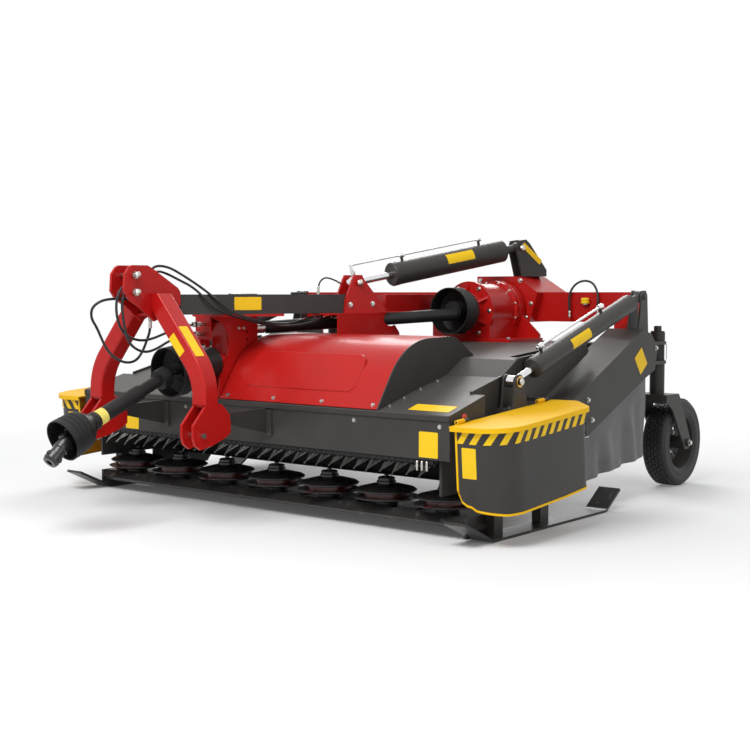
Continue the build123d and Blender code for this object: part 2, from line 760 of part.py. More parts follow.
with BuildPart() as rear_beam:
    block((-beam_half, beam_half), beam_y, beam_z)
    housing = [(housing_x[0], housing_z[0]), (housing_x[1], housing_z[0]), (housing_x[1] + 60, beam_z[1]), (housing_x[1] - 110, housing_z[1]), (housing_x[0], housing_z[1])]
    plate(front((housing_y[0] + housing_y[1]) / 2), housing, housing_y[1] - housing_y[0])
    for name, s in sides:
        block(sorted((s * (arm_in + 14), s * beam_half)), (1690, 1800), (940, beam_z[0]))
        arm_filled(s, Mode.SUBTRACT)
    # elbows for the hose that arches over the beam
    for x, y, z in arch_ends:
        block((x - 12, x + 12), (y - 12, beam_y[0]), (z - 22, z))
save(rear_beam, "rear_beam")

with BuildPart() as wheel_sleeves:
    for name, s in sides:
        bar(at(s * caster_x, caster_y, sleeve_z[0]), at(s * caster_x, caster_y, sleeve_z[1]), 46)
        for z in (800, 920):
            block(sorted((s * (caster_x - 60), s * (caster_x + 60))), (beam_y[0], caster_y), (z - 10, z + 10))
        plate(side(s * caster_x), [(beam_y[0], 800), (caster_y, 800), (caster_y, 920), (beam_y[0], 920)], 16)
        arm_filled(s, Mode.SUBTRACT)
        bar(at(s * caster_x, caster_y, sleeve_z[0]), at(s * caster_x, caster_y, sleeve_z[1]), spindle_radius + fit, Mode.SUBTRACT)
save(wheel_sleeves, "wheel_sleeves")

# ---- caster forks and wheels ------------------------------------------------------------------
fork_plate = 12
fork_half = wheel_width / 2 + tyre_room + fork_plate
hub_half = fork_half - fork_plate - 5
axle_radius = 14
wheel_y = caster_y + trail
head_z = (545, 600)
for name, s in sides:
    x = s * caster_x
    with BuildPart() as fork:
        bar(at(x, caster_y, head_z[0]), at(x, caster_y, sleeve_z[1] + 8), spindle_radius)
        bar(at(x, caster_y, head_z[1]), at(x, caster_y, sleeve_z[0] - play), 46)
        bar(at(x, caster_y, sleeve_z[1] + play), at(x, caster_y, sleeve_z[1] + 8), 42)
        bar(at(x, caster_y, sleeve_z[1] + 8), at(x, caster_y, sleeve_z[1] + 40), 22)
        block((x - fork_half, x + fork_half), (caster_y - 80, caster_y + 90), head_z)
        for ear in (-1, 1):
            blade = [(caster_y - 60, 600), (caster_y + 90, 600), (caster_y + 140, 530), (wheel_y + 40, 300), (wheel_y + 24, 240), (wheel_y - 34, 240), (caster_y + 10, 500), (caster_y - 60, 545)]
            plate(side(x + ear * (fork_half - fork_plate / 2)), blade, fork_plate)
        bar(at(x - fork_half - 14, wheel_y, wheel_radius), at(x + fork_half + 14, wheel_y, wheel_radius), axle_radius)
        for ear in (-1, 1):
            bar(at(x + ear * fork_half, wheel_y, wheel_radius), at(x + ear * (fork_half + 14), wheel_y, wheel_radius), 24)
    save(fork, f"caster_fork_{name}")

    hub = at(x, wheel_y, wheel_radius)
    with BuildPart() as rim:
        half = wheel_width / 2
        rim_line = [
            (axle_radius + fit, -hub_half),
            (42, -hub_half),
            (42, -30),
            (120, -14),
            (150, -30),
            (166, -62),
            (rim_radius, -66),
            (rim_radius, 66),
            (168, 62),
            (156, -18),
            (120, -4),
            (42, -20),
            (42, hub_half),
            (axle_radius + fit, hub_half),
        ]
        turned(hub, Vector(s, 0, 0), rim_line)
        with Locations(Plane(origin=hub, x_dir=(0, 1, 0), z_dir=(1, 0, 0))):
            with PolarLocations(96, 6):
                Cylinder(17, 120, mode=Mode.SUBTRACT)
    save(rim, f"rim_{name}")

    with BuildPart() as tyre:
        tyre_line = [
            (rim_radius, -66),
            (196, -76),
            (236, -half),
            (262, -half + 6),
            (276, -half + 26),
            (wheel_radius, -half + 44),
            (wheel_radius, half - 44),
            (276, half - 26),
            (262, half - 6),
            (236, half),
            (196, 76),
            (rim_radius, 66),
        ]
        turned(hub, Vector(1, 0, 0), tyre_line)
    save(tyre, f"tyre_{name}")


# ---- hydraulic cylinders ----------------------------------------------------------------------
def cylinder(label, barrel_pin, rod_pin, pin_axis, barrel_radius, rod_radius, barrel_length, clamps, indicator, barrel_play, rod_play):
    """Barrel with its eye on barrel_pin and rod with its eye on rod_pin, both across pin_axis.

    The indicator rod runs in two clamps on the barrel. Where indicator is true it hangs on the rod's
    eye and slides with it, otherwise it is fixed in the clamps.
    """
    run = rod_pin - barrel_pin
    length = run.length
    along = run.normalized()
    up = pin_axis.cross(along)
    if up.Z < 0:
        up = up * -1
    bore = barrel_radius - 10
    guide = barrel_radius + 34  # height of the indicator rod above the axis
    half = pin_axis * (eye_width / 2)

    with BuildPart() as barrel:
        bar(barrel_pin - half, barrel_pin + half, eye_radius)
        bar(barrel_pin + along * 20, barrel_pin + along * 125, eye_width / 2 + 4)
        tube = [
            (0, 120),
            (barrel_radius - 10, 120),
            (barrel_radius, 130),
            (barrel_radius, barrel_length - 6),
            (barrel_radius - 6, barrel_length),
            (rod_radius + fit, barrel_length),
            (rod_radius + fit, barrel_length - 50),
            (bore, barrel_length - 50),
            (bore, 146),
            (0, 146),
        ]
        turned(barrel_pin, along, tube)
        for place in clamps:
            foot = barrel_pin + along * place + up * (barrel_radius - 4)
            bar(foot, foot + up * (guide - barrel_radius - 2), 9)
            ring = barrel_pin + along * (place - 14) + up * guide
            bar(ring, ring + along * 28, 14)
        if indicator:
            sight = barrel_pin + along * (clamps[0] - 40) + up * guide
            bar(sight, sight + along * (barrel_length - clamps[0] + 40), 6.5, Mode.SUBTRACT)
        else:
            sight = barrel_pin + along * (clamps[0] - 34) + up * guide
            bar(sight, sight + along * (clamps[1] - clamps[0] + 68), 6)
        bar(barrel_pin - half * 1.2, barrel_pin + half * 1.2, pin_radius + barrel_play, Mode.SUBTRACT)
    save(barrel, f"{label}_barrel")

    with BuildPart() as rod:
        bar(rod_pin - half, rod_pin + half, eye_radius - 4)
        inner = barrel_pin + along * (length - eye_radius)
        piston = barrel_pin + along * 150
        bar(inner + along * 10, piston, rod_radius)
        bar(piston, piston + along * 50, bore - play)
        if indicator:
            post = rod_pin + up * (eye_radius - 6) - along * 4
            bar(post, post + up * (guide - eye_radius + 6), 9)
            bar(barrel_pin + along * (clamps[0] - 20) + up * guide, rod_pin + up * guide + along * 8, 6)
        bar(rod_pin - half * 1.2, rod_pin + half * 1.2, pin_radius + rod_play, Mode.SUBTRACT)
    save(rod, f"{label}_rod")


cylinder(
    "centre_cylinder",
    boom_point(gusset_t, gusset_pin_z),
    boom_point(bracket_t, bracket_pin_z),
    boom_side(0).z_dir,
    centre_barrel_radius,
    centre_rod_radius,
    1000,
    (304, 904),
    True,
    1,
    2,
)
for name, s in sides:
    cylinder(
        f"side_cylinder_{name}",
        at(s * side_cylinder_x, *side_barrel_pin),
        at(s * side_cylinder_x, *side_rod_pin),
        Vector(1, 0, 0),
        side_barrel_radius,
        side_rod_radius,
        1255,
        (465, 1143),
        False,
        fit,
        1.2,
    )

# ---- power take-off shaft ---------------------------------------------------------------------
joint = at(hitch_x, joint_y, joint_z)
shaft_axis = Vector(0, -cos(radians(shaft_drop)), -sin(radians(shaft_drop)))
yoke_axis = Vector(0, -cos(radians(yoke_drop)), -sin(radians(yoke_drop)))
front_centre = joint + shaft_axis * front_joint

with BuildPart() as pto_inner:
    collar = [(0, -14), (20, -14), (20, 20), (34, 28), (34, 40), (56, 48), (56, 108), (33, 112), (33, front_joint - 265), (0, front_joint - 265)]
    turned(joint, shaft_axis, collar)
    bar(joint - Vector(42, 0, 0), joint + Vector(42, 0, 0), joint_pin_radius)
save(pto_inner, "pto_inner_tube")

with BuildPart() as pto_guard:
    cone = [
        (33 + play, 250),
        (41, 250),
        (41, front_joint - 175),
        (48, front_joint - 160),
        (48, front_joint - 135),
        (80, front_joint - 91),
        (96, front_joint - 73),
        (101, front_joint - 49),
        (106, front_joint - 45),
        (106, front_joint - 35),
        (102, front_joint - 31),
        (102, front_joint - 21),
        (108, front_joint - 17),
        (108, front_joint - 7),
        (104, front_joint - 3),
        (104, front_joint + 7),
        (110, front_joint + 11),
        (110, front_joint + 21),
        (106, front_joint + 25),
        (106, front_joint + 35),
        (112, front_joint + 39),
        (112, front_joint + 65),
        (106, front_joint + 65),
        (96, front_joint - 31),
        (88, front_joint - 63),
        (60, front_joint - 95),
        (60, front_joint - 115),
        (36, front_joint - 115),
        (36, front_joint - 27),
        (0, front_joint - 27),
        (0, front_joint - 135),
        (33 + play, front_joint - 145),
    ]
    turned(joint, shaft_axis, cone)
    bar(front_centre, front_centre - yoke_axis * 60, yoke_stub_radius + fit, Mode.SUBTRACT)
save(pto_guard, "pto_guard_tube")

with BuildPart() as pto_yoke:
    hub_start = 40
    hub_end = 190
    yoke = [
        (0, -56),
        (yoke_stub_radius, -56),
        (yoke_stub_radius, -16),
        (18, -14),
        (28, 0),
        (32, 26),
        (40, hub_start + 6),
        (40, hub_start + 60),
        (36, hub_start + 66),
        (36, hub_start + 96),
        (42, hub_start + 100),
        (42, hub_end - 16),
        (36, hub_end),
        (yoke_bore, hub_end),
        (yoke_bore, hub_end - yoke_bore_depth),
        (0, hub_end - yoke_bore_depth),
    ]
    turned(front_centre, yoke_axis, yoke)
save(pto_yoke, "pto_yoke")

# ---- folding side guards ----------------------------------------------------------------------
guard_outer = guard_hinge_x + 320
guard_corner = 190
skirt_inset = 28
for name, s in sides:
    hinge = at(s * guard_hinge_x, guard_front_y, guard_hinge_z)
    deck_plane = Plane(origin=at(0, guard_front_y, guard_hinge_z) - guard_normal * 13, x_dir=(1, 0, 0), z_dir=guard_normal)
    with BuildPart() as guard_top:
        with BuildSketch(deck_plane) as plan:
            with BuildLine():
                outer_line = [
                    (s * (guard_hinge_x - 2), 0),
                    (s * guard_outer, 0),
                    (s * guard_outer, 800),
                    (s * (guard_outer - 175), 965),
                    (s * (guard_hinge_x - 2), 950),
                ]
                FilletPolyline(*outer_line, radius=[guard_corner, 90, 60])
                Line(outer_line[-1], outer_line[0])
            make_face()
        extrude(plan.sketch, amount=3, both=True)
        for run in hinge_runs:
            knuckle = hinge + guard_run * run
            bar(knuckle, knuckle + guard_run * 60, 12)
            bar(knuckle - guard_run, knuckle + guard_run * 61, hinge_pin_radius + fit, Mode.SUBTRACT)
    save(guard_top, f"guard_top_{name}")

    with BuildPart() as guard_skirt:
        low = deck_plane.offset(-3)
        edge = guard_outer - skirt_inset
        with BuildSketch(low) as plan:
            with BuildLine():
                skirt = [(s * (guard_hinge_x + 17), skirt_inset), (s * edge, skirt_inset), (s * edge, 780), (s * (guard_outer - 115), 880)]
                FilletPolyline(*skirt, radius=[guard_corner - skirt_inset, 60])
                offset(amount=5, side=Side.RIGHT if s > 0 else Side.LEFT)
            make_face()
        extrude(plan.sketch, amount=-450)
        # the lower edge rises to the rear and the front lower corner is round
        with BuildSketch(side(s * (guard_outer - 155))) as under:
            with BuildLine():
                Polyline((-330, 60), (-330, 300), (-262, 300), (-262, 262))
                Spline((-262, 262), (-225, 185), (-120, 148), tangents=((0, -1), (1, 0)))
                Polyline((-120, 148), (240, 148), (700, 190), (700, 60), (-330, 60))
            make_face()
        extrude(under.sketch, amount=220, both=True, mode=Mode.SUBTRACT)
    save(guard_skirt, f"guard_skirt_{name}")

# ---- hydraulic hoses and what they end on -----------------------------------------------------
hose_routes = {
    "hose_loop_left": [
        (-284, -562.3, 1200), (-284, -630, 1200), (-286, -710, 1196), (-284, -790, 1195), (-281, -870, 1198),
        (-283, -940, 1200), (-299, -1004, 1190), (-332, -1037, 1152), (-365, -1014, 1098), (-382, -965, 1050),
        (-377, -940, 994), (-359, -922, 935), (-328, -893, 886), (-303, -838, 858), (-295, -775, 866),
        (-297, -728, 912), (-286, -705, 975), (-262, -700, 1033), (-262, -700, 1085),
    ],
    "hose_long_upper": [
        (-262, -355, 1056), (-262, -430, 1056), (-255, -530, 1033), (-246, -630, 1006), (-225, -720, 986),
        (-213, -800, 978), (-213, -870, 990), (-214, -925, 1022), (-214, -955, 1068), (-214, -972, 1130),
        (-214, -968, 1200), (-214, -935, 1262), (-214, -868, 1283), (-214, -800, 1300), (-216, -735, 1352),
        (-226, -680, 1378), (-218, -600, 1368), (-206, -520, 1329), (-175, -455, 1284), (-135, -400, 1235),
        (-90, -325, 1163), (-50, -240, 1107), (-30, -120, 1075), (-34, -20, 1060), (-34, 80, 1052),
        (-26, 165, 1056), (-4, 235, 1075), (20, 290, 1092), (20, 345, 1092),
    ],
    "hose_long_lower": [
        (-279, -355, 1000), (-279, -420, 1000), (-262, -510, 985), (-225, -610, 968), (-190, -710, 937),
        (-172, -800, 918), (-166, -870, 930), (-175, -920, 968), (-188, -933, 1025), (-200, -937, 1095),
        (-212, -937, 1170), (-214, -916, 1236), (-214, -858, 1266), (-214, -800, 1277), (-216, -735, 1320),
        (-238, -665, 1350), (-245, -595, 1335), (-222, -520, 1298), (-178, -465, 1261), (-125, -435, 1205),
        (-100, -385, 1150), (-87, -300, 1113), (-66, -180, 1084), (-72, -40, 1054), (-68, 100, 1038),
        (-48, 190, 1038), (-8, 262, 1050), (38, 320, 1070), (66, 380, 1092), (66, 440, 1092),
    ],
    "hose_arch_front": [
        (10, 351, 1238), (10, 351, 1272), (11.5, 371, 1304), (16, 406, 1321), (21.5, 446, 1315.5),
        (31.8, 483.2, 1302.8), (42.7, 518.4, 1288.1),
    ],
    "hose_arch_rear": [
        (900, 1712, 1075), (900, 1712, 1130), (892, 1715, 1190), (902, 1722, 1248), (937, 1731, 1292),
        (990, 1739, 1309), (1043, 1744, 1295), (1080, 1732, 1252), (1096, 1721, 1196), (1098, 1712, 1138),
        (1098, 1712, 1085),
    ],
}
hose_size = {label: hose_radius for label in hose_routes}
hose_size["hose_arch_front"] = small_hose_radius


def hose(label):
    """A hose of straight runs joined by tangent arcs, swept along its route."""
    route = [at(*point) for point in hose_routes[label]]
    radii = []
    for before, here, after in zip(route, route[1:], route[2:]):
        reach, leave = here - before, after - here
        radii.append(0.45 * min(reach.length, leave.length) / tan(radians(reach.get_angle(leave)) / 2))
    with BuildPart() as tube:
        with BuildLine() as path:
            FilletPolyline(*route, radius=radii)
        centre = path.wire()
        with BuildSketch(Plane(origin=centre @ 0, z_dir=centre % 0)):
            Circle(hose_size[label])
        sweep()
    filled = tube.part.volume / (pi * hose_size[label] ** 2 * centre.length)
    print(f"{label}: {centre.length:.0f} mm long, smallest radius {min(radii):.0f} mm, volume ratio {filled:.4f}")
    save(tube, label)


for label in hose_routes:
    hose(label)

# couplers, bulkhead blocks and nipples, each on the end of one hose
with BuildPart() as hose_fittings:
    for label in ("hose_long_upper", "hose_long_lower"):
        x, y, z = hose_routes[label][0]
        bar(at(x, y, z), at(x, coupler_y[0], z), sleeve_radius)
        bar(at(x, y + 14, z), at(x, y + 22, z), sleeve_radius + 3)
        x, y, z = hose_routes[label][-1]
        block((x - 12, x + 12), (y, y + 22), (z - 12, boom_z[0] - 8))
    x, y, z = hose_routes["hose_arch_front"][0]
    bar(at(x, y, boom_z[1]), at(x, y, z), small_hose_radius + 4)
    x, y, z = hose_routes["hose_loop_left"][-1]
    bar(at(x, y, z), at(x, y, 1108), sleeve_radius)
save(hose_fittings, "hose_fittings")
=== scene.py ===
import json
import math

import bmesh
import bpy
from mathutils import Matrix, Vector


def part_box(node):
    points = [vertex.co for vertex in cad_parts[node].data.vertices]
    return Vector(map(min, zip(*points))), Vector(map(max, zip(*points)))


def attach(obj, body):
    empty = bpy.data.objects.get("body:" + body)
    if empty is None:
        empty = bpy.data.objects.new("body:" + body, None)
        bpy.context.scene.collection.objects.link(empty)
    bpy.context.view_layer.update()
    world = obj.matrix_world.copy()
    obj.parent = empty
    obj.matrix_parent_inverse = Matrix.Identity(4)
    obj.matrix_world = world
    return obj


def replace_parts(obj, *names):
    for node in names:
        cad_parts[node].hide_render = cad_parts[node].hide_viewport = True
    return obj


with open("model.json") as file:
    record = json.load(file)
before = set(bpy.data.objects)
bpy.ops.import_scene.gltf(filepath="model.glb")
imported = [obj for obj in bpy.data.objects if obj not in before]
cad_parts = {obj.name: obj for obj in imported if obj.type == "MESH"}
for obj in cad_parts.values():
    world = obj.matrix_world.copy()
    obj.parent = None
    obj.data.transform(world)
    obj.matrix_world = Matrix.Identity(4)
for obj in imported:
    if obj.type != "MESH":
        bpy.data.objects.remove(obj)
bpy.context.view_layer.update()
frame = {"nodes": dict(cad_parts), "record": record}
nodes = frame["nodes"]
sides = (("right", 1), ("left", -1))
discLine = -574  # y of the row of discs, in millimetres
discPitch = 400
print("frame loaded:", len(nodes), "nodes")


# a place in millimetres, its y measured back from the disc line, as metres in the shared frame
def spot(x, y, z):
    return Vector((x, discLine + y, z)) / 1000


# directions and places that several pieces share
boomStart, boomLean = (-250, -600), (0.2973, 0.9548)
boomRun = Vector((*boomLean, 0)).normalized()
boomSide = Vector((boomRun.y, -boomRun.x, 0))
shaftDrop, yokeDrop = math.radians(23), math.radians(42)
shaftRun = Vector((0, -math.cos(shaftDrop), -math.sin(shaftDrop)))
yokeRun = Vector((0, -math.cos(yokeDrop), -math.sin(yokeDrop)))
shaftJoint = spot(-250, -560, 800)
frontCentre = shaftJoint + shaftRun * 0.735
rightward, rearward, upward = Vector((1, 0, 0)), Vector((0, 1, 0)), Vector((0, 0, 1))


# a place above the boom's line, a run from where the line starts
def onBoom(run, z):
    return spot(boomStart[0] + run * boomLean[0], boomStart[1] + run * boomLean[1], z)


rearPin, frontPin = onBoom(2461, 1520), onBoom(1204, 1290)  # of the centre cylinder
sidePins = {s: (spot(s * 1366, 1730, 1206), spot(s * 1366, 345, 770)) for _, s in sides}


# links an object with its data into the scene
def placed(name, data):
    obj = bpy.data.objects.new(name, data)
    bpy.context.collection.objects.link(obj)
    return obj


# camera
view = {"place": (4.994, -5.850, 1.23), "heading": 39.0, "down": 3.67, "lens": 61.4, "sensor": 36}
camera = bpy.data.cameras.new("camera")
camera.lens = view["lens"]
camera.sensor_width = view["sensor"]
cameraObj = placed("camera", camera)
cameraObj.location = view["place"]
cameraObj.rotation_euler = (math.radians(90 - view["down"]), 0, math.radians(view["heading"]))
bpy.context.scene.camera = cameraObj
print("camera placed")


# a node with its settings, and its inputs set or linked; the four below it give one output each
def add(tree, kind, values=None, **settings):
    made = tree.nodes.new(kind)
    for key, value in settings.items():
        setattr(made, key, value)
    for key, value in (values or {}).items():
        if isinstance(value, bpy.types.NodeSocket):
            tree.links.new(value, made.inputs[key])
        else:
            made.inputs[key].default_value = value
    return made


def reckon(tree, operation, first, second, **settings):
    return add(tree, "ShaderNodeMath", {0: first, 1: second}, operation=operation, **settings).outputs[0]


def ranged(tree, value, start, stop, least=0.0, most=1.0):
    return add(tree, "ShaderNodeMapRange", {"Value": value, "From Min": start, "From Max": stop,
                                            "To Min": least, "To Max": most}).outputs[0]


def blended(tree, share, under, over):
    return add(tree, "ShaderNodeMix", {0: share, 6: under, 7: over}, data_type="RGBA").outputs[2]


def noise(tree, where, scale, detail, **more):
    values = {"Vector": where, "Scale": scale, "Detail": detail, **more}
    return add(tree, "ShaderNodeTexNoise", values).outputs[0]


dustLook = {"color": (0.42, 0.38, 0.33), "from": 0.2}


# colour clouds, a roughness range, fine bump and, where asked, stretched scuffs, dust and a band
def finish(name, color, shade, rough, metal=0.0, coat=0.0, clouds=3.0, grain=300.0, bump=0.15,
           depth=0.0006, stretch=(1, 1, 1), scuff=None, dust=0.0, sheen=0.0, band=None, shine=0.35):
    material = bpy.data.materials.new(name)
    material.use_nodes = True
    tree = material.node_tree
    shader = tree.nodes["Principled BSDF"]
    for label, value in (("Metallic", metal), ("Specular IOR Level", shine), ("Coat Weight", coat),
                         ("Coat Roughness", 0.08), ("Sheen Weight", sheen)):
        shader.inputs[label].default_value = value
    where = add(tree, "ShaderNodeTexCoord").outputs["Object"]
    pulled = add(tree, "ShaderNodeMapping", {"Vector": where, "Scale": stretch}).outputs[0]
    cloud = noise(tree, where, clouds, 5.0, Roughness=0.6)
    fine = noise(tree, pulled, grain, 3.0, Roughness=0.55)
    paint = blended(tree, ranged(tree, cloud, 0.32, 0.68), (*color, 1), (*shade, 1))
    if band:  # another colour between two heights
        height = add(tree, "ShaderNodeSeparateXYZ", {"Vector": where}).outputs["Z"]
        above = reckon(tree, "GREATER_THAN", height, band["low"])
        below = reckon(tree, "LESS_THAN", height, band["high"])
        paint = blended(tree, reckon(tree, "MULTIPLY", above, below), paint, (*band["color"], 1))
    if scuff:  # bare streaks where soil and crop rub
        streak = noise(tree, pulled, scuff["scale"], 6.0)
        worn = ranged(tree, streak, scuff["from"], scuff["from"] + 0.12, 0.0, scuff["most"])
        paint = blended(tree, worn, paint, (*scuff["color"], 1))
    if dust:  # a thin film that gathers on faces turned up
        facing = add(tree, "ShaderNodeNewGeometry").outputs["Normal"]
        up = add(tree, "ShaderNodeSeparateXYZ", {"Vector": facing}).outputs["Z"]
        lay = reckon(tree, "MULTIPLY", ranged(tree, up, dustLook["from"], 1.0, 0.0, dust), cloud)
        paint = blended(tree, lay, paint, (*dustLook["color"], 1))
    tree.links.new(paint, shader.inputs["Base Color"])
    tree.links.new(ranged(tree, fine, 0.3, 0.7, *rough), shader.inputs["Roughness"])
    relief = add(tree, "ShaderNodeBump", {"Strength": bump, "Distance": depth, "Height": fine})
    tree.links.new(relief.outputs[0], shader.inputs["Normal"])
    return material


discBand = {"low": 0.1585, "high": 0.1835, "color": (0.085, 0.008, 0.007)}
soilScuff = {"scale": 9.0, "from": 0.6, "most": 0.5, "color": (0.2, 0.18, 0.16)}
paints = {
    "red_paint": finish("redPaint", (0.46, 0.008, 0.006), (0.40, 0.006, 0.005), (0.30, 0.42), coat=0.12,
                        grain=420, bump=0.06, dust=0.03, shine=0.22),
    "dark_paint": finish("darkPaint", (0.047, 0.045, 0.042), (0.037, 0.035, 0.033), (0.38, 0.5), coat=0.03,
                         grain=520, bump=0.12, dust=0.12, shine=0.2),
    "black_steel": finish("discSteel", (0.016, 0.015, 0.015), (0.022, 0.020, 0.019), (0.22, 0.34), coat=0.2,
                          grain=260, bump=0.1, band=discBand, shine=0.4),
    "yellow_paint": finish("yellowPaint", (0.88, 0.51, 0.010), (0.83, 0.46, 0.009), (0.38, 0.5), coat=0.02,
                           grain=420, bump=0.06, dust=0.02, shine=0.08),
    "black_plastic": finish("ribbedPlastic", (0.010, 0.010, 0.010), (0.015, 0.015, 0.015), (0.44, 0.58),
                            grain=700, bump=0.3, dust=0.04, shine=0.25),
    "zinc": finish("zincPlate", (0.62, 0.61, 0.58), (0.52, 0.50, 0.46), (0.2, 0.34), metal=1.0, clouds=14.0,
                   grain=600, bump=0.12),
    "chrome": finish("chromeRod", (0.80, 0.80, 0.82), (0.72, 0.72, 0.74), (0.06, 0.14), metal=1.0, clouds=6.0,
                     grain=900, bump=0.03),
    "curtain": finish("meshRubber", (0.105, 0.103, 0.100), (0.140, 0.138, 0.134), (0.5, 0.68), clouds=5.0,
                      grain=150, bump=0.4, depth=0.002, sheen=0.15, shine=0.3),
    "tyre": finish("tyreRubber", (0.020, 0.020, 0.020), (0.028, 0.027, 0.026), (0.5, 0.66), grain=260,
                   bump=0.25, dust=0.05),
    "hose": finish("hoseRubber", (0.011, 0.011, 0.012), (0.017, 0.017, 0.018), (0.34, 0.5), grain=900,
                   bump=0.3),
}
# near-black steel with bare scuffs where soil and crop rub; on the cutterbar this near-black is painted shade
# under the discs
scuffedSteelPaintedShade = finish("skidSteel", (0.022, 0.021, 0.020), (0.030, 0.027, 0.025), (0.26, 0.42), coat=0.1,
                   stretch=(3, 0.25, 3), scuff=soilScuff, shine=0.3)
tineSteel = finish("tineSteel", (0.16, 0.15, 0.14), (0.07, 0.065, 0.06), (0.24, 0.42), metal=1.0, clouds=12.0)
fingerSteel = finish("fingerSteel", (0.026, 0.025, 0.024), (0.060, 0.058, 0.055), (0.2, 0.36), metal=0.6,
                     clouds=16.0, bump=0.1)
plateYellow = finish("plateYellow", (0.90, 0.58, 0.015), (0.86, 0.53, 0.014), (0.4, 0.52), bump=0.05,
                     shine=0.2)
paleYellow = finish("paleYellow", (0.82, 0.68, 0.16), (0.76, 0.62, 0.14), (0.4, 0.52), bump=0.1, shine=0.2)
reflectorRed = finish("reflectorRed", (0.62, 0.02, 0.012), (0.50, 0.012, 0.010), (0.1, 0.2), coat=0.8,
                      grain=1400, bump=0.5)
bushBrass = finish("bushBrass", (0.70, 0.48, 0.17), (0.62, 0.41, 0.14), (0.22, 0.36), metal=1.0, grain=600)
palePlastic = finish("palePlastic", (0.72, 0.71, 0.68), (0.66, 0.65, 0.62), (0.4, 0.52), grain=500)
# the guard's yellow inner face, in a darker orange that is painted shade, since the inside of the guard lies
# in shade
guardInnerPaintedShade = finish("guardInnerPaintedShade", (0.78, 0.34, 0.012), (0.70, 0.29, 0.012), (0.4, 0.52), shine=0.2)
print("finishes made")

slots = {part["node"]: part["material_slot"] for part in frame["record"]["subparts"]}
# the cutterbar takes the near-black scuffed steel, which is painted shade under the discs
ownFinish = {"skids": scuffedSteelPaintedShade, "cutterbar": scuffedSteelPaintedShade, "pto_yoke": paints["black_steel"]}
for name, node in nodes.items():
    node.data.materials.clear()
    node.data.materials.append(ownFinish.get(name, paints[slots[name]]))


# links a mesh in as a piece that rides on a body, in the finish it is given, if any
def addPiece(name, mesh, body, material=None, smooth=40):
    if material:
        mesh.materials.append(material)
    for face in mesh.polygons:
        face.use_smooth = smooth > 0
    if smooth:
        mesh.set_sharp_from_angle(angle=math.radians(smooth))
    obj = placed(name, mesh)
    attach(obj, body)
    return obj


# ends a bmesh as such a piece, in the slot's own paint unless another is named
def addMade(name, work, body, slot, material=None, smooth=40):
    bmesh.ops.recalc_face_normals(work, faces=work.faces)
    mesh = bpy.data.meshes.new(name)
    work.to_mesh(mesh)
    work.free()
    return addPiece(name, mesh, body, material or paints[slot], smooth)


# one piece of several of the same shape; each entry holds what the shape's function takes
def addSet(name, shapeInto, entries, body, slot, material=None, smooth=40):
    work = bmesh.new()
    for entry in entries:
        shapeInto(work, *entry)
    return addMade(name, work, body, slot, material, smooth)


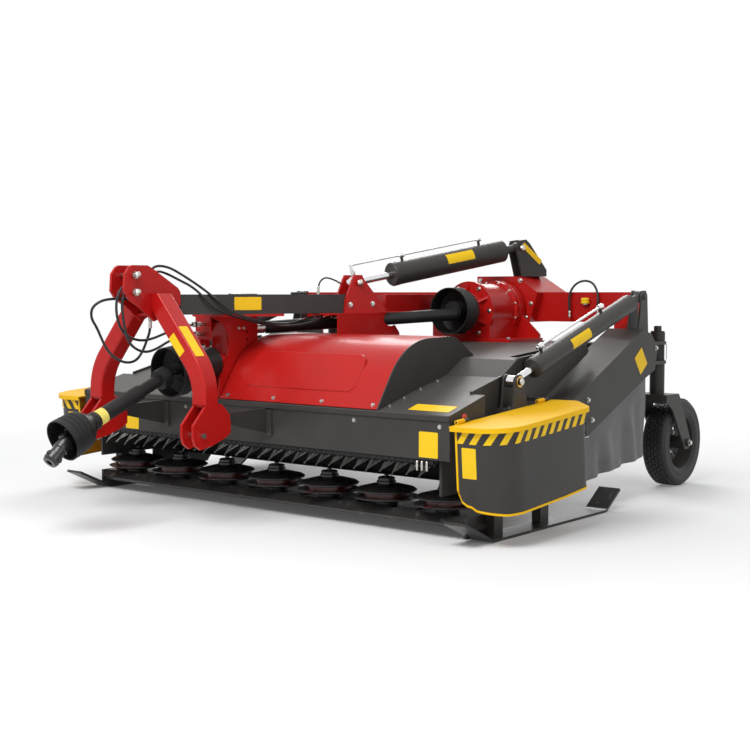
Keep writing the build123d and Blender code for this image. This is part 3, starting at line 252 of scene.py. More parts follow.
# hydraulic hoses: each follows its route's own control points
hoses = {
    "hose_loop_left": {"length": 1.175, "diameter": 0.014, "body": "mower", "points": [
        (-0.284, -1.1363, 1.2), (-0.284, -1.204, 1.2), (-0.286, -1.284, 1.196), (-0.284, -1.364, 1.195),
        (-0.281, -1.444, 1.198), (-0.283, -1.514, 1.2), (-0.299, -1.578, 1.19), (-0.332, -1.611, 1.152),
        (-0.365, -1.588, 1.098), (-0.382, -1.539, 1.05), (-0.377, -1.514, 0.994), (-0.359, -1.496, 0.935),
        (-0.328, -1.467, 0.886), (-0.303, -1.412, 0.858), (-0.295, -1.349, 0.866), (-0.297, -1.302, 0.912),
        (-0.286, -1.279, 0.975), (-0.262, -1.274, 1.033), (-0.262, -1.274, 1.085)]},
    "hose_long_upper": {"length": 2.27, "diameter": 0.014, "body": "mower", "points": [
        (-0.262, -0.929, 1.056), (-0.262, -1.004, 1.056), (-0.255, -1.104, 1.033), (-0.246, -1.204, 1.006),
        (-0.225, -1.294, 0.986), (-0.213, -1.374, 0.978), (-0.213, -1.444, 0.99), (-0.214, -1.499, 1.022),
        (-0.214, -1.529, 1.068), (-0.214, -1.546, 1.13), (-0.214, -1.542, 1.2), (-0.214, -1.509, 1.262),
        (-0.214, -1.442, 1.283), (-0.214, -1.374, 1.3), (-0.216, -1.309, 1.352), (-0.226, -1.254, 1.378),
        (-0.218, -1.174, 1.368), (-0.206, -1.094, 1.329), (-0.175, -1.029, 1.284), (-0.135, -0.974, 1.235),
        (-0.09, -0.899, 1.163), (-0.05, -0.814, 1.107), (-0.03, -0.694, 1.075), (-0.034, -0.594, 1.06),
        (-0.034, -0.494, 1.052), (-0.026, -0.409, 1.056), (-0.004, -0.339, 1.075), (0.02, -0.284, 1.092),
        (0.02, -0.229, 1.092)]},
    "hose_long_lower": {"length": 2.40, "diameter": 0.014, "body": "mower", "points": [
        (-0.279, -0.929, 1), (-0.279, -0.994, 1), (-0.262, -1.084, 0.985), (-0.225, -1.184, 0.968),
        (-0.19, -1.284, 0.937), (-0.172, -1.374, 0.918), (-0.166, -1.444, 0.93), (-0.175, -1.494, 0.968),
        (-0.188, -1.507, 1.025), (-0.2, -1.511, 1.095), (-0.212, -1.511, 1.17), (-0.214, -1.49, 1.236),
        (-0.214, -1.432, 1.266), (-0.214, -1.374, 1.277), (-0.216, -1.309, 1.32), (-0.238, -1.239, 1.35),
        (-0.245, -1.169, 1.335), (-0.222, -1.094, 1.298), (-0.178, -1.039, 1.261), (-0.125, -1.009, 1.205),
        (-0.1, -0.959, 1.15), (-0.087, -0.874, 1.113), (-0.066, -0.754, 1.084), (-0.072, -0.614, 1.054),
        (-0.068, -0.474, 1.038), (-0.048, -0.384, 1.038), (-0.008, -0.312, 1.05), (0.038, -0.254, 1.07),
        (0.066, -0.194, 1.092), (0.066, -0.134, 1.092)]},
    "hose_arch_front": {"length": 0.226, "diameter": 0.010, "body": "mower", "points": [
        (0.01, -0.223, 1.238), (0.01, -0.223, 1.272), (0.0115, -0.203, 1.304), (0.016, -0.168, 1.321),
        (0.0215, -0.128, 1.3155), (0.0318, -0.0908, 1.3028), (0.0427, -0.0556, 1.2881)]},
    "hose_arch_rear": {"length": 0.555, "diameter": 0.014, "body": "lift_frame", "points": [
        (0.9, 1.138, 1.075), (0.9, 1.138, 1.13), (0.892, 1.141, 1.19), (0.902, 1.148, 1.248),
        (0.937, 1.157, 1.292), (0.99, 1.165, 1.309), (1.043, 1.17, 1.295), (1.08, 1.158, 1.252),
        (1.096, 1.147, 1.196), (1.098, 1.138, 1.138), (1.098, 1.138, 1.085)]},
}
hoseLook = {"ringSides": 4, "smoothness": 8}


def hoseCurve(name, points):
    curve = bpy.data.curves.new(name, "CURVE")
    curve.dimensions = "3D"
    line = curve.splines.new("NURBS")
    line.points.add(len(points) - 1)
    for point, place in zip(line.points, points):
        point.co = (*place, 1)
    line.order_u = 3
    line.use_endpoint_u = True
    line.resolution_u = hoseLook["smoothness"]
    return curve


# what an object's modifiers or spline come to, as a plain mesh
def plainMesh(obj):
    bpy.context.view_layer.update()
    return bpy.data.meshes.new_from_object(obj.evaluated_get(bpy.context.evaluated_depsgraph_get()))


# points along a hose's own line, for what sits on it
def hoseLine(name):
    bare = placed("bareLine", hoseCurve("bareLine", hoses[name]["points"]))
    places = [v.co.copy() for v in plainMesh(bare).vertices]
    bpy.data.objects.remove(bare)
    return places


for name, route in hoses.items():
    curve = hoseCurve(name + "_rubber", route["points"])
    curve.bevel_depth = route["diameter"] / 2
    curve.bevel_resolution = hoseLook["ringSides"]
    curve.use_fill_caps = True
    curve.materials.append(paints["hose"])
    hose = placed(name + "_rubber", curve)
    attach(hose, route["body"])
    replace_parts(hose, name)
print("hoses laid")


# opens a geometry tree with one geometry input and named sizes
def startTree(name, sizes):
    tree = bpy.data.node_groups.new(name, "GeometryNodeTree")
    tree.interface.new_socket("Geometry", in_out="INPUT", socket_type="NodeSocketGeometry")
    tree.interface.new_socket("Geometry", in_out="OUTPUT", socket_type="NodeSocketGeometry")
    for label, value in sizes.items():
        made = tree.interface.new_socket(label, in_out="INPUT", socket_type="NodeSocketFloat")
        made.default_value = value
    return tree, add(tree, "NodeGroupInput").outputs


# the direction and the size that every seed point carries
def carried(tree, name, kind):
    return add(tree, "GeometryNodeInputNamedAttribute", {"Name": name}, data_type=kind).outputs[0]


def facingOf(tree):
    return carried(tree, "facing", "FLOAT_VECTOR")


def sizeOf(tree):
    return carried(tree, "size", "FLOAT")


# turns a shape's Z one way, and its second axis as near as it can to another
def turnedTo(tree, zWay, secondWay, second):
    return add(tree, "FunctionNodeAxesToRotation", {0: zWay, 1: secondWay}, primary_axis="Z",
               secondary_axis=second).outputs[0]


# sets a shape on every seed point and ends the tree in real geometry with its finish
def endTree(tree, given, shape, turned, material, size=1.0):
    spread = add(tree, "GeometryNodeInstanceOnPoints", {
        "Points": given["Geometry"], "Instance": shape, "Rotation": turned,
        "Scale": size if isinstance(size, bpy.types.NodeSocket) else (size, size, size)})
    solid = add(tree, "GeometryNodeRealizeInstances", {0: spread.outputs[0]})
    dressed = add(tree, "GeometryNodeSetMaterial", {"Geometry": solid.outputs[0], "Material": material})
    tree.links.new(dressed.outputs[0], add(tree, "NodeGroupOutput").inputs[0])
    return tree


# a mesh of bare points that carry a direction and a size
def seedPoints(name, entries):
    mesh = bpy.data.meshes.new(name)
    mesh.from_pydata([tuple(entry[0]) for entry in entries], [], [])
    mesh.attributes.new("facing", "FLOAT_VECTOR", "POINT")
    mesh.attributes.new("size", "FLOAT", "POINT")
    for index, (_, way, large) in enumerate(entries):
        mesh.attributes["facing"].data[index].vector = Vector(way).normalized()
        mesh.attributes["size"].data[index].value = large
    return mesh


# runs a tree on seed points and adds its result as a piece
def addGrown(name, entries, tree, body, smooth=30, sizes=None):
    source = placed(name + "_seed", seedPoints(name + "_seed", entries))
    modifier = source.modifiers.new("grow", "NODES")
    modifier.node_group = tree
    for item in tree.interface.items_tree:
        if item.in_out == "INPUT" and item.name in (sizes or {}):
            modifier[item.identifier] = sizes[item.name]
    mesh = plainMesh(source)
    mesh.name = name
    source.modifiers.clear()
    bpy.data.objects.remove(source)
    return addPiece(name, mesh, body, smooth=smooth)


def coneOf(tree, top, bottom, depth, faces=6):
    return add(tree, "GeometryNodeMeshCone", {"Vertices": faces, "Radius Top": top, "Radius Bottom": bottom,
                                              "Depth": depth}).outputs[0]


def moved(tree, shape, **how):
    return add(tree, "GeometryNodeTransform", {"Geometry": shape, **how}).outputs[0]


def boxOf(tree, *sizes, **splits):
    size = add(tree, "ShaderNodeCombineXYZ", dict(enumerate(sizes))).outputs[0]
    return add(tree, "GeometryNodeMeshCube", {"Size": size, **splits}).outputs[0]


def joined(tree, shapes):
    whole = add(tree, "GeometryNodeJoinGeometry")
    for shape in shapes:
        tree.links.new(shape, whole.inputs[0])
    return whole.outputs[0]


# hex bolts: head, chamfer and washer in shares of the head's radius, turned to stand on their face
boltShape = {"Head height": 0.66, "Washer radius": 1.28, "Washer height": 0.2, "Chamfer": 0.86}
boltLift = {"head": 0.18, "crown": 0.84, "crownDepth": 0.12}


def boltTree(material):
    tree, given = startTree("hexBolts_" + material.name, boltShape)
    washer = add(tree, "GeometryNodeMeshCylinder", {"Vertices": 20, "Radius": given["Washer radius"],
                                                    "Depth": given["Washer height"]}).outputs[0]
    head = coneOf(tree, 1.0, 1.0, given["Head height"])
    crown = coneOf(tree, given["Chamfer"], 1.0, boltLift["crownDepth"])
    bolt = joined(tree, (washer, moved(tree, head, Translation=(0, 0, boltLift["head"])),
                         moved(tree, crown, Translation=(0, 0, boltLift["crown"]))))
    turned = add(tree, "FunctionNodeAlignRotationToVector", {"Vector": facingOf(tree)}, axis="Z").outputs[0]
    return endTree(tree, given, bolt, turned, material, sizeOf(tree))


# the angles and the directions of even steps round a circle
def turnsOf(count, first=0.0):
    return [first + 2 * math.pi * step / count for step in range(count)]


def swung(side, other, turn):
    return side * math.cos(turn) + other * math.sin(turn)


def ringOf(centre, axis, radius, count, size, first=0.0):
    axis = Vector(axis).normalized()
    side = axis.orthogonal().normalized() if abs(axis.z) > 0.9 else axis.cross(upward).normalized()
    other = axis.cross(side)
    turns = turnsOf(count, math.radians(first))
    return [(centre + swung(side, other, t) * radius, axis, size) for t in turns]


hoodNormal = Vector((0, -0.83, 0.55)).normalized()
deckNormal = Vector((0, -0.26, 0.965)).normalized()
boltPlaces = {
    ("mower", "zinc"): [
        *ringOf(spot(420, 1297.5, 1120), -rearward, 0.156, 6, 0.0115),
        *ringOf(spot(420, 1565.5, 1120), -rearward, 0.1765, 12, 0.0075, 15),
        *[(spot(x, y, 948), upward, 0.013) for x in (245, 720) for y in (1290, 1635)],
        *[(spot(x, -236, 660), hoodNormal, 0.009) for x in range(-147, 901, 349)],
        *[(spot(x, -250, 577), -rearward, 0.009) for x in (-1100, -480, 145, 785, 1330)],
        *[(spot(962, y, z), deckNormal, 0.009) for y, z in ((-180, 653), (-60, 686), (80, 724), (230, 759))],
        *[(spot(x, y, z), boomSide, 0.012) for x, y, z in ((149.5, 478, 1162), (195.6, 626, 1167))],
        *[(spot(s * 1375, y, 632), upward, 0.011) for _, s in sides for y in (300, 415)],
        *[(spot(-208, y, z), rightward, 0.009) for y, z in ((-86, 1030), (-46, 1029))],
    ],
    ("lift_frame", "zinc"): [
        *[(spot(x, 1672, z), -rearward, 0.012)
          for x, z in ((255, 1310), (560, 1310), (640, 1163), (605, 1075))],
        *[(spot(s * 1450, y, z), (s, 0, 0), 0.012) for _, s in sides
          for y, z in ((984, 635), (1031, 520), (1800, 898))],
    ],
}
for name, s in sides:
    hub = spot(s * 1320, 2270, 280)
    boltPlaces[f"wheel_{name}", "zinc"] = ringOf(hub, (s, 0, 0), 0.066, 5, 0.011, 90)
    boltPlaces[f"caster_{name}", "zinc"] = [(spot(s * 1456, 2270, 280), (s, 0, 0), 0.015)]
capSunk = 0.0004
for number in range(1, 8):  # one on each disc's cap, sunk a little into its top
    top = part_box(f"disc_{number}")[1][2] - capSunk
    cap = spot((number - 4) * discPitch, 0, 0)
    boltPlaces[f"disc_body_{number}", "black_steel"] = [(Vector((cap.x, cap.y, top)), upward, 0.013)]
boltTrees = {slot: boltTree(paints[slot]) for slot in ("zinc", "black_steel")}
for (body, slot), entries in boltPlaces.items():
    addGrown("bolts_" + body, entries, boltTrees[slot], body)
print("bolts set:", sum(len(entries) for entries in boltPlaces.values()))


# faces between closed rings of corners, where a ring may be a single point
def bandInto(work, rings):
    for near, far in zip(rings, rings[1:]):
        count = max(len(near), len(far))
        for step in range(count):
            after = (step + 1) % count
            corners = [near[step % len(near)], near[after % len(near)],
                       far[after % len(far)], far[step % len(far)]]
            corners = list(dict.fromkeys(corners))
            if len(corners) > 2:
                work.faces.new(corners)


# a profile of (radius, distance along), in millimetres, turned about an axis
def turnInto(work, start, axis, profile, count=32):
    axis = Vector(axis).normalized()
    side = axis.orthogonal().normalized()
    other = axis.cross(side)
    rings = []
    for radius, along in profile:
        middle = start + axis * (along / 1000)
        turns = turnsOf(count) if radius else [0]
        rings.append([work.verts.new(middle + swung(side, other, t) * (radius / 1000)) for t in turns])
    bandInto(work, rings)


# fittings turned on the lathe: (start, axis, profile)
def turnedSet(name, body, slot, entries, material=None, count=28):
    return addSet(name, turnInto, [(*entry, count) for entry in entries], body, slot, material, 25)


# a block with rounded edges, set along two directions of its own
def blockInto(work, centre, along, across, sizes, edge):
    along, across = Vector(along).normalized(), Vector(across).normalized()
    way = Matrix((along, across, along.cross(across))).transposed().to_4x4()
    place = Matrix.Translation(centre) @ way @ Matrix.Diagonal((*sizes, 1))
    made = bmesh.ops.create_cube(work, size=1.0, matrix=place)
    edges = {e for v in made["verts"] for e in v.link_edges}
    bmesh.ops.bevel(work, geom=list(edges), offset=edge, segments=2, affect="EDGES", profile=0.5)


# closes a thin shell between two grids of corners
def shellInto(work, front, back):
    columns, rows = len(front) - 1, len(front[0]) - 1
    for c in range(columns):
        for r in range(rows):
            work.faces.new((front[c][r], front[c + 1][r], front[c + 1][r + 1], front[c][r + 1]))
            work.faces.new((back[c][r + 1], back[c + 1][r + 1], back[c + 1][r], back[c][r]))
        for r in (0, rows):
            work.faces.new((back[c][r], back[c + 1][r], front[c + 1][r], front[c][r]))
    for c in (0, columns):
        for r in range(rows):
            work.faces.new((back[c][r], front[c][r], front[c][r + 1], back[c][r + 1]))


plateShape = {"thick": 0.0012, "wall": 0.6, "chamfer": 0.0008, "cornerSteps": 5, "offBarrel": 0.0003}


# a thin plate with round corners that lies on a face
def plateInto(work, centre, facing, along, width, height, corner):
    facing, along = Vector(facing).normalized(), Vector(along).normalized()
    across, thick, outline = facing.cross(along), plateShape["thick"], []
    for cx, cy, first in ((1, 1, 0), (-1, 1, 90), (-1, -1, 180), (1, -1, 270)):
        middle = along * cx * (width / 2 - corner) + across * cy * (height / 2 - corner)
        for step in range(plateShape["cornerSteps"] + 1):
            turn = math.radians(first + 90 * step / plateShape["cornerSteps"])
            outline.append(middle + swung(along, across, turn) * corner)
    inset = 1 - plateShape["chamfer"] / max(width, height)
    rings = [[work.verts.new(centre + p * share + facing * high) for p in outline]
             for share, high in ((1, 0), (1, thick * plateShape["wall"]), (inset, thick))]
    bandInto(work, rings)
    work.faces.new(rings[-1])
    work.faces.new(list(reversed(rings[0])))


# blank yellow plates, on the bodies that carry them: place, facing, run, width, height, corner
legRun = Vector((0.66, 0, -0.75))
gussetRun = Vector((0.235, 0.768, -0.596))
blankPlates = {
    "mower": [
        (spot(-65, -157, 1171), boomSide, boomRun, 0.170, 0.073, 0.006),
        (spot(1262, -250.4, 484), -rearward, rightward, 0.116, 0.128, 0.006),
        (spot(-950, -250.4, 482), -rearward, rightward, 0.116, 0.128, 0.006),
        (spot(1225, -165, 657.5), (0, -0.265, 0.964), rightward, 0.250, 0.085, 0.006),
        (spot(5, -755.4, 960), -rearward, legRun, 0.125, 0.050, 0.005),
        (spot(73.3, -715, 980.3), (0.757, 0, 0.653), (0.653, 0, -0.757), 0.200, 0.060, 0.005),
    ],
    "lift_frame": [
        (spot(552, 1823, 1484), boomSide, gussetRun, 0.190, 0.034, 0.003),
        *[(spot(s * 1450.3, 1609, 827), (s, 0, 0), (0, 0.8, 0.6), 0.105, 0.125, 0.006) for _, s in sides],
    ],
}
for body, entries in blankPlates.items():
    addSet("blank_plates_" + body, plateInto, entries, body, "yellow_paint", plateYellow)


# a band wrapped part of the way round a round barrel
def wrapInto(work, start, axis, radius, length, middle, sweep, steps=14):
    axis = Vector(axis).normalized()
    middle = (Vector(middle) - axis * Vector(middle).dot(axis)).normalized()
    other, skins = axis.cross(middle), []
    turns = [math.radians(sweep) * (step / steps - 0.5) for step in range(steps + 1)]
    for reach in (radius + plateShape["thick"], radius):
        skins.append([[work.verts.new(start + axis * end + swung(middle, other, t) * reach)
                       for end in (0, length)] for t in turns])
    shellInto(work, *skins)


# each barrel's pins, radius, gland, clamps for the sight rod, and plate: start, length, facing, sweep
barrels = {"centre_cylinder_barrel_body": {
    "pin": rearPin, "end": frontPin, "side": boomSide, "radius": 70, "gland": 954, "clamps": (304, 904),
    "plate": (0.40, 0.21, (0.7, -0.6, 0.3), 52), "rod": False}}
sidePlates = {"right": (0.69, 0.21, (1, 0, 0.25), 60), "left": (0.70, 0.11, (-1, 0, 0.25), 50)}
for name, s in sides:
    barrels[f"side_cylinder_{name}_barrel_body"] = {
        "pin": sidePins[s][0], "end": sidePins[s][1], "side": rightward, "radius": 54, "gland": 1209,
        "clamps": (465, 1143), "plate": sidePlates[name], "rod": True}
glandLine = [(0.3, 0), (1.8, 1), (1.8, 16), (0.6, 18), (0.6, 22), (1.8, 24), (1.8, 38), (-4, 45.5)]
clampLine = [(6.5, -17), (13.2, -17), (14.3, -15.5), (14.3, 15.5), (13.2, 17), (6.5, 17)]
wingLine = [(0, 10), (5.5, 10), (5.5, 21), (4, 24), (0, 24)]
sightRod = {"radius": 5.5, "middle": 6.7, "past": 36, "rise": 0.034}
for body, barrel in barrels.items():
    pin, rim = barrel["pin"], barrel["radius"]
    along = (barrel["end"] - pin).normalized()
    place, length, middle, sweep = barrel["plate"]
    wrap = (pin + along * place, along, rim / 1000 + plateShape["offBarrel"], length, middle, sweep)
    addSet("wrap_plate_" + body, wrapInto, [wrap], body, "yellow_paint", plateYellow)
    turnedSet("gland_" + body, body, "dark_paint",
              [(pin + along * barrel["gland"] / 1000, along, [(rim + r, a) for r, a in glandLine])], count=48)
    rise = barrel["side"].cross(along)
    rise *= math.copysign(1, rise.z) * (rim / 1000 + sightRod["rise"])
    work = bmesh.new()
    for place in barrel["clamps"]:
        foot = pin + along * place / 1000 + rise
        turnInto(work, foot, along, clampLine, 24)
        for turn in (-1, 1):
            turnInto(work, foot, barrel["side"] * turn, wingLine, 16)
    if barrel["rod"]:
        first, last = barrel["clamps"][0] - sightRod["past"], barrel["clamps"][1] + sightRod["past"]
        thin, full = sightRod["radius"], sightRod["middle"]
        turnInto(work, pin + rise, along, [
            (0, first), (thin, first), (full, first + 1), (full, last - 1), (thin, last), (0, last)], 20)
    addMade("sight_clamps_" + body, work, body, "chrome", smooth=25)
print("plates and barrel fittings set")

# what sits on the hoses
ferruleLine = [(7.2, 0), (9.2, 1), (9.6, 3), (9.6, 17), (9, 19), (9, 21), (9.6, 23), (9.6, 38), (8.6, 41),
               (7.3, 42)]
sleeveLine = [(7.3, 0), (14, 1), (15, 3), (15, 9), (13.5, 10), (13.5, 27), (15, 28), (15, 36), (12, 40),
              (7.4, 40)]
ringLine = [(13.6, 12), (15.4, 12.6), (15.4, 24.4), (13.6, 25)]
smallFerrule = [(r - 2, a * 0.7) for r, a in ferruleLine]


# fittings that sit on a hose follow the hose's own line, from its near or far end
def hoseFitting(name, end, distance, profile):
    line = hoseLine(name)
    if end == "far":
        line.reverse()
    gone = 0.0
    for here, there in zip(line, line[1:]):
        step = (there - here).length
        if gone + step >= distance:
            return here.lerp(there, (distance - gone) / step), there - here, profile
        gone += step
    raise ValueError(name)


# how far from a hose's two ends its fittings start
seated, pastCoupler = 0.002, 0.052


def ferrules(name, near=seated, profile=ferruleLine):
    return [hoseFitting(name, "near", near, profile), hoseFitting(name, "far", seated, profile)]


couplers = [hoseFitting(name, "near", seated, sleeveLine) for name in ("hose_long_upper", "hose_long_lower")]
turnedSet("hose_ferrules", "mower", "zinc", [
    *ferrules("hose_long_upper", pastCoupler), *ferrules("hose_long_lower", pastCoupler),
    *ferrules("hose_loop_left", 0.004), *ferrules("hose_arch_front", profile=smallFerrule)])
turnedSet("hose_ferrules_rear", "lift_frame", "zinc", ferrules("hose_arch_rear"))
turnedSet("coupler_sleeves", "mower", "zinc", couplers, palePlastic)
turnedSet("coupler_bands", "mower", "black_plastic", [(start, axis, ringLine) for start, axis, _ in couplers])

# other turned fittings
capLine = [(0, 0), (24, 0), (26, 3), (26, 12), (24, 14), (24, 18), (26, 20), (26, 30), (22, 35), (0, 36)]
neckLine = [(0, 0), (20, 0), (20, 5), (18, 6.5), (0, 6.5)]
studLine = [(0, 0), (4.2, 0), (4.2, 5), (3.2, 6), (0, 6)]
bushLine = [(19.6, 0), (29, 0), (30, 1), (30, 5), (29, 6), (19.6, 6)]
lidLine = [(22.6, -26), (24, -25), (24, 3), (21, 7), (0, 8)]
lensLine = [(0, -4), (19, -4), (20, -3), (20, 4), (18, 5), (17, 6), (0, 8)]
endPinLine = [(0, 0), (5, 1), (7, 4), (7, 20), (9, 21), (9, 27), (7, 28), (7, 46), (5, 50), (0, 51)]
pinHead = [(0, 0), (17, 0), (19, 2), (19, 8), (16, 12), (10, 15), (0, 16)]
lowHead = [(0, 0), (17, 0), (19, 1.5), (19, 4.5), (17, 6), (0, 6)]  # the folded guard passes over it
turnedSet("filler_cap", "lift_frame", "yellow_paint", [(spot(1005, 1722, 1164), upward, capLine)],
          plateYellow)
turnedSet("filler_neck", "lift_frame", "zinc", [(spot(1005, 1722, 1158), upward, neckLine)])
turnedSet("cover_studs", "mower", "zinc",
          [(spot(s * 1262, -235, 398), (0, -0.3, -1), studLine) for _, s in sides])
turnedSet("pin_washers", "mower", "zinc",
          [(spot(s * 1407.3, 345, 770), (s, 0, 0), bushLine) for _, s in sides], bushBrass)
for name, s in sides:
    turnedSet("spindle_cap_" + name, "caster_" + name, "dark_paint",
              [(spot(s * 1335, 2050, 1018), upward, lidLine)])
turnedSet("reflector_mower", "mower", "red_paint", [(spot(1390, -130, 618), rightward, lensLine)],
          reflectorRed, 40)
turnedSet("rail_end_pins", "mower", "zinc",
          [(spot(s * x, -254, 352), upward, endPinLine) for _, s in sides for x in (1196, 1226, 1256)],
          count=16)
turnedSet("pin_heads", "mower", "zinc", [
    *[(spot(-166.5, -868, z), rightward, pinHead) for z in (1323, 1233)],
    *[(spot(s * 1421, 345, 770), (s, 0, 0), lowHead) for _, s in sides],
    (frontPin + boomSide * 0.0745, boomSide, pinHead)], count=24)
turnedSet("pin_heads_rear", "lift_frame", "zinc", [(rearPin + boomSide * 0.0555, boomSide, pinHead)],
          count=24)

# bright strip and hose clamps on the boom's top
strip = (spot(-105, -157, 1225.5), boomRun, boomSide, (0.170, 0.028, 0.008), 0.0015)
clamps = [(spot(-10, 170, 1224) + boomRun * shift, boomRun, boomSide, (0.030, 0.052, 0.022), 0.004)
          for shift in (0, 0.055)]
addSet("boom_strip", blockInto, [strip], "mower", "zinc")
addSet("boom_clamps", blockInto, clamps, "mower", "black_plastic")


# round bar swept round a closed loop of points that lie in one plane
def wireInto(work, points, facing, bar, around=10):
    facing = Vector(facing).normalized()
    loops = []
    for index, point in enumerate(points):
        along = (points[(index + 1) % len(points)] - points[index - 1]).normalized()
        out = along.cross(facing)
        loops.append([work.verts.new(point + swung(out, facing, t) * bar) for t in turnsOf(around)])
    bandInto(work, loops + loops[:1])


# a long ring: two half circles a given distance apart along one direction
def longRing(centre, long, short, radius, apart, steps=16):
    long, short = Vector(long).normalized(), Vector(short).normalized()
    return [centre + long * end * (apart / 2 + radius * math.sin(t)) + short * end * radius * math.cos(t)
            for end in (1, -1) for t in [math.pi * step / steps for step in range(steps + 1)]]


# wire rings, each with its radius, the distance between its halves and its bar
wireRings = {"eye": (0.017, 0.004, 0.0055), "pull": (0.019, 0.014, 0.0035), "clip": (0.016, 0.085, 0.0035)}
eyeFoot = [(0, 0), (12, 0), (14, 2), (14, 6), (9, 9), (0, 9)]
clipStud = [(0, 0), (9, 0), (9, 14), (7, 16), (0, 16)]


def ringInto(work, kind, centre, long, short, facing):
    radius, apart, bar = wireRings[kind]
    wireInto(work, longRing(centre, long, short, radius, apart), facing, bar)


work = bmesh.new()
ringInto(work, "eye", spot(108, 550, 1350), upward, boomSide, boomRun)
turnInto(work, spot(108, 550, 1330), upward, eyeFoot, 20)
ringInto(work, "pull", spot(-336, -868, 1300), (0, -0.25, -1), (0, 1, -0.25), rightward)
addMade("lifting_eye", work, "mower", "zinc")
work = bmesh.new()
for _, s in sides:
    ringInto(work, "clip", spot(s * 1390, 2050, 866), upward, rearward, rightward)
    turnInto(work, spot(s * 1379, 2050, 915), (s, 0, 0), clipStud, 16)
addMade("sleeve_clips", work, "lift_frame", "chrome")

# finger row behind the front cover's lower edge, with its rail and studs
fingerShape = {"Finger length": 0.092, "Finger thickness": 0.0125, "Finger tip": 0.0035}
fingerRow = {"half": 1262, "pitch": 28.5, "y": -226, "z": 390, "stagger": 6, "shorter": 0.12, "flat": 0.5}
fingerWays = ((-0.32, -0.80, -0.48), (-0.10, -0.80, -0.95), (-0.24, -0.80, -0.66))
railStuds = {"half": 1240, "count": 60, "size": 0.0055}


# even steps from one side to the other
def acrossRow(half, count):
    return [-half + 2 * half * step / count for step in range(count + 1)]


def fingerTree():
    tree, given = startTree("fingers", fingerShape)
    finger = coneOf(tree, given["Finger tip"], given["Finger thickness"], given["Finger length"])
    flat = moved(tree, finger, Scale=(1.0, fingerRow["flat"], 1.0))
    turned = turnedTo(tree, facingOf(tree), (0.0, -0.6, 0.8), "Y")
    return endTree(tree, given, flat, turned, fingerSteel, sizeOf(tree))


fingers = []
for step, x in enumerate(acrossRow(fingerRow["half"], round(2 * fingerRow["half"] / fingerRow["pitch"]))):
    place = spot(x, fingerRow["y"] + step % 2 * fingerRow["stagger"], fingerRow["z"])
    fingers.append((place, fingerWays[step % 3], 1.0 - fingerRow["shorter"] * (step % 2)))
addGrown("finger_row", fingers, fingerTree(), "mower", 40)
rail = (spot(0, -231, 398), rightward, rearward, (2.57, 0.024, 0.026), 0.003)
addSet("finger_rail", blockInto, [rail], "mower", "black_plastic")
studs = [(spot(x, -242.5, 397), -rearward, railStuds["size"])
         for x in acrossRow(railStuds["half"], railStuds["count"])]
addGrown("rail_studs", studs, boltTree(fingerSteel), "mower")

# a guessed board behind the rotor that lays the crop in its row; its dark sheet is painted shade, standing
# for the shade behind the discs and closing the view through to the floor
addSet("swath_board_painted_shade", blockInto, [
    (spot(0, 474, 312), rightward, (0, 0.26, -0.966), (2.585, 0.270, 0.004), 0.0012),
    (spot(0, 509, 181), rightward, rearward, (2.585, 0.034, 0.004), 0.0012)], "mower", "dark_paint")
print("small fittings set")

# side guards: the sheet that hangs under each folding top, and the lip round the top's free edge
skirtShape = {"thick": 0.005, "corners": ((1.432, 0.028), (1.707, 0.028), (1.707, 0.780), (1.630, 0.868)),
              "radii": (0.162, 0.060), "hem": 0.392, "deepHem": 0.426, "lowCorner": 0.085,
              "deepAt": 0.26, "riseFrom": 0.75, "rise": 0.010}
liningShape = {"gap": 0.004, "behind": -0.0012, "thick": 0.001}
trimShape = {"width": 0.011, "thick": 0.0028, "proud": 0.0002}
skirtPlate = {"place": (1.508, 0.028), "drop": 0.172, "size": (0.082, 0.150, 0.005)}
lipShape = {"thick": 0.0035, "depth": 0.018, "radii": (0.190, 0.090, 0.060),
            "corners": ((1.416, 0.0), (1.735, 0.0), (1.735, 0.800), (1.560, 0.965), (1.425, 0.951))}
guardTilt = math.radians(4.2)
guardAcross = Vector((0, math.cos(guardTilt), math.sin(guardTilt)))
guardUp = Vector((0, -math.sin(guardTilt), math.cos(guardTilt)))
guardFoot = spot(0, -290, 598) - guardUp * 0.016


# a path in plan through rounded corners: (place, outward direction, run so far)
def roundedPath(corners, radii, spacing=0.03):
    corners = [Vector(corner) for corner in corners]
    places, start = [], corners[0]
    for index, radius in enumerate(radii):
        here = corners[index + 1]
        arrive, leave = (here - corners[index]).normalized(), (corners[index + 2] - here).normalized()
        bend = arrive.angle(leave)
        way = Vector((arrive.y, -arrive.x))
        stop = here - arrive * radius * math.tan(bend / 2)
        count = max(2, round((stop - start).length / spacing))
        places += [(start.lerp(stop, step / count), way) for step in range(count)]
        centre, turns = stop - way * radius, max(4, round(bend * radius / spacing * 2))
        for step in range(turns):
            out = swung(way, Vector((-way.y, way.x)), bend * step / turns)
            places.append((centre + out * radius, out))
        start = here + leave * radius * math.tan(bend / 2)
    leave = (corners[-1] - start).normalized()
    places += [(start.lerp(corners[-1], step / 4), Vector((leave.y, -leave.x))) for step in range(5)]
    path, run = [], 0.0
    for index, (place, way) in enumerate(places):
        if index:
            run += (place - places[index - 1][0]).length
        path.append((place, way, run))
    return path


# how far the hem hangs below the top, along the run
def skirtHem(run, whole):
    corner, hem = skirtShape["lowCorner"], skirtShape["hem"]
    if run < corner:
        return hem - corner * (1 - math.sqrt(max(0.0, 1 - (1 - run / corner) ** 2)))
    deep = hem + (skirtShape["deepHem"] - hem) * min(1.0, run / skirtShape["deepAt"])
    past = max(0.0, run - skirtShape["riseFrom"]) / (whole - skirtShape["riseFrom"])
    return deep - skirtShape["rise"] * past


# depths along the run: a gap above the hem, or level
def aboveHem(gap):
    return lambda run, whole: skirtHem(run, whole) - gap


def level(drop):
    return lambda run, whole: drop


